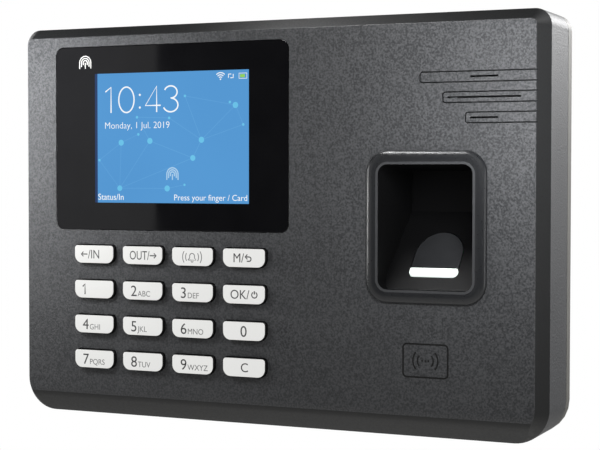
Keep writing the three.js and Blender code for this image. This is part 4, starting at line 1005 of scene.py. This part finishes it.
waist = CLOCK_LOW + 4.5 * MM
bar = CLOCK_LOW + 2.2 * MM
one = [(-58.6 * MM, CLOCK_TOP - 1.5 * MM), (-56.4 * MM, CLOCK_TOP), (-56.4 * MM, CLOCK_LOW)]
zero = oval(-53.4 * MM, -47.5 * MM, CLOCK_LOW, CLOCK_TOP, 0, 360)
four = [(-37.4 * MM, bar), (-43.2 * MM, bar), (-38.9 * MM, CLOCK_TOP), (-38.9 * MM, CLOCK_LOW)]
three = oval(-36 * MM, -31.2 * MM, waist, CLOCK_TOP, 160, -88)
three += oval(-36.4 * MM, -30.9 * MM, CLOCK_LOW, waist, 88, -160)
figures = [line("figure", points, CLOCK_STROKE, ART_Y) for points in (one, zero, four, three)]
figures += [dot("colon", -45.3 * MM, CLOCK_LOW + up * MM, 0.75 * MM, ART_Y) for up in (1.6, 5.8)]
on_page(figures, "page_time", PAGE_WHITE)

DOTS = [(-52.5, 26.4, 2), (-41.5, 26.9, 2), (-22.2, 27.1, 2), (-25.4, 21.2, 1.9), (-53.1, 11.2, 1.9),
        (-35, 11.2, 2), (-9.8, 38.2, 2), (-28.5, 12.4, 0.8), (-46.4, 34.8, 0.9), (-45.9, 29.1, 0.9),
        (-34.2, 34.4, 0.9), (-61, 20.6, 0.9), (-28.3, 41.5, 0.9), (-11.8, 39.2, 0.9), (-7, 31.9, 0.9)]
LINKS = [(0, 11), (0, 9), (1, 8), (1, 3), (2, 3), (2, 12), (2, 6), (3, 4), (4, 5), (5, 7), (6, 14), (2, 14),
         (10, 2), (4, 11), (8, 10), (12, 6), (0, 4), (1, 4)]
on_page([dot("dot", x * MM, z * MM, size * MM, ART_Y) for x, z, size in DOTS], "page_dots", PAGE_DOT)
threads = []
for a, b in LINKS:
    ends = [(DOTS[index][0] * MM, DOTS[index][1] * MM) for index in (a, b)]
    threads.append(line("thread", ends, 0.16 * MM, ART_Y + 0.5 * FILM))
on_page(threads, "page_threads", PAGE_LINE)

# %% Display artwork: icons and a plain mark
x, z = -15.2 * MM, 46.6 * MM
waves = [line("wave", arc(x, z, radius * MM, 45, 135, 8), 0.35 * MM, ART_Y) for radius in (0.75, 1.45, 2.15)]
on_page(waves + [dot("source", x, z, 0.5 * MM, ART_Y)], "page_wireless", PAGE_WHITE)
link = [line("link", [(a * MM, b * MM) for a, b in points], 0.3 * MM, ART_Y) for points in
        (((-12.3, 47), (-12.3, 48.2), (-11.3, 48.2)), ((-10.6, 48.2), (-10.6, 47), (-11.6, 47)))]
on_page(link, "page_network", PAGE_WHITE)
cell = [(-8.5, 46.7), (-5.7, 46.7), (-5.7, 48.4), (-8.5, 48.4)]
outline = line("cell", [(a * MM, b * MM) for a, b in cell], 0.25 * MM, ART_Y, closed=True)
on_page([outline], "page_cell", PAGE_WHITE)
charge = block("page_charge", (-8.1 * MM, ART_Y - FILM / 2, 47.05 * MM),
               (-6.4 * MM, ART_Y + FILM / 2, 48.05 * MM))
finish_piece(charge, "terminal", PAGE_GREEN)


def ridge_mark(x, z, size, y, width):
    """A generic fingertip sign: nested arches."""
    arches = []
    for share in (1.0, 0.68, 0.36):
        radius = size / 2 * share
        foot_z = z - size * 0.45 * share
        over = [(x - radius, foot_z), *arc(x, z, radius, 180, 0, 14), (x + radius, foot_z)]
        arches.append(line("arch", over, width, y))
    arches.append(line("arch", [(x, z), (x, z - size * 0.45)], width, y))
    return arches


on_page(ridge_mark(-33 * MM, 15.9 * MM, 4.2 * MM, ART_Y, 0.42 * MM), "page_mark", PAGE_MARK)
window_mark = joined("window_mark", ridge_mark(-66.5 * MM, 53.4 * MM, 4.4 * MM, FRONT - FILM / 4, 0.36 * MM))
finish_piece(window_mark, "terminal", WHITE_INK)
print("display artwork done")


# %% [markdown]
# Below the well, a small mark shows where to hold a card: a rounded frame with two arcs on each side of
# three dots, printed in black on the case.

# %% Card mark
MARK_X = (well_low.x + well_high.x) / 2
MARK_Z = -41.3 * MM
MARK_Y = FRONT - FILM / 4
frame_half = Vector((7.25 * MM, 0, 5.1 * MM))
corner = 1.2 * MM
outline = []
for start, sign_x, sign_z in ((0, 1, 1), (90, -1, 1), (180, -1, -1), (270, 1, -1)):
    centre = (MARK_X + sign_x * (frame_half.x - corner), MARK_Z + sign_z * (frame_half.z - corner))
    outline += arc(*centre, corner, start, start + 90, 5)
strokes = [line("card_frame", outline, 0.6 * MM, MARK_Y, closed=True)]
for side in (0, 180):
    strokes.append(line("card_arc", arc(MARK_X, MARK_Z, 4.05 * MM, side - 40, side + 40), 0.55 * MM, MARK_Y))
    strokes.append(line("card_arc", arc(MARK_X, MARK_Z, 2.55 * MM, side - 38, side + 38), 0.55 * MM, MARK_Y))
strokes += [dot("card_dot", MARK_X + shift * MM, MARK_Z, 0.6 * MM, MARK_Y) for shift in (-1, 0, 1)]
card_mark = joined("card_mark", strokes)
finish_piece(card_mark, "terminal", BLACK_INK)
print("card mark", round(card_mark.dimensions.x / MM, 1), "mm wide")


# %% [markdown]
# Light: two soft lamps stand close to the upper corners, so the case is brightest there and falls off
# towards the middle and the lower edge. They light only the matt part of each surface, because they
# would show as bright squares in the window. Gloss is fed by narrow strips and large dim cards of its
# own, which only glossy surfaces see. A lamp behind and to the right lights the case's side, and two
# more light its back. The room is white to the camera and dim to everything else.

# %% Lights
def lamp(name, place, target, size, watts, lights="all"):
    """An area lamp that the camera doesn't see. It may light only matt or only gloss surfaces."""
    clear_selection()
    bpy.ops.object.light_add(type="AREA", location=Vector(place) * MM)
    light = bpy.context.object
    light.name = name
    light.data.shape = "RECTANGLE"
    light.data.size, light.data.size_y = size[0] * MM, size[1] * MM
    light.data.energy = watts
    aim = Vector(target) * MM - light.location
    light.rotation_euler = aim.to_track_quat("-Z", "Y").to_euler()
    light.visible_camera = False
    light.visible_glossy = lights != "matt"
    light.visible_diffuse = lights != "gloss"


lamp("lamp_left", (-105, -95, 55), (-98, -29, 50), (50, 50), 0.23, "matt")
lamp("lamp_right", (100, -95, 45), (95, -29, 40), (50, 50), 0.155, "matt")
lamp("lamp_side", (300, 260, 200), (90, -10, 20), (160, 160), 2.3)
lamp("glint_left", (-190, -62, 16), (40, -30, 6), (24, 80), 0.17, "gloss")
lamp("glint_top", (8, -65, 128), (55, -30, 22), (80, 12), 0.15, "gloss")
lamp("glint_right", (211, -82, 0), (75, -30, 0), (30, 120), 0.05, "gloss")
lamp("card_left", (-429, -420, 40), (-40, -29, 20), (300, 400), 0.16, "gloss")
lamp("card_back", (223, 465, 60), (93, -15, 20), (250, 300), 0.06, "gloss")
lamp("fill_back", (300, 500, 400), (0, 0, 0), (500, 500), 2)
lamp("fill_back_left", (-400, 450, 200), (0, 0, 0), (400, 400), 2)

world = bpy.data.worlds.new("studio")
bpy.context.scene.world = world
world.use_nodes = True
sky = world.node_tree
background = sky.nodes["Background"]
seen = node(sky, "ShaderNodeLightPath").outputs["Is Camera Ray"]
ROOM_DIM = (0.05, 0.05, 0.051, 1)
ROOM_WHITE = (1, 1, 1, 1)
shade = node(sky, "ShaderNodeMix", {"data_type": "RGBA", 6: ROOM_DIM, 7: ROOM_WHITE}, {0: seen})
sky.links.new(shade.outputs[2], background.inputs["Color"])
bpy.context.scene.view_settings.view_transform = "Standard"

# %% Floor
FLOOR_Z = -0.5
clear_selection()
bpy.ops.mesh.primitive_plane_add(size=3, location=(0, 0, FLOOR_Z))
floor = bpy.context.object
floor.name = "floor"
paint, paint_tree, paint_shader, paint_place = start_material("pale_matt_paint")
mottle = speckle(paint_tree, paint_place, 60).outputs["Fac"]
paint_colour = blend_colours(paint_tree, mottle, "#e9e9e7", "#f0f0ee")
paint_tree.links.new(paint_colour, paint_shader.inputs["Base Color"])
paint_shader.inputs["Roughness"].default_value = 0.8
paint_shader.inputs["Emission Color"].default_value = linear("#ecebe9")
paint_shader.inputs["Emission Strength"].default_value = 0.45
floor.data.materials.append(paint)
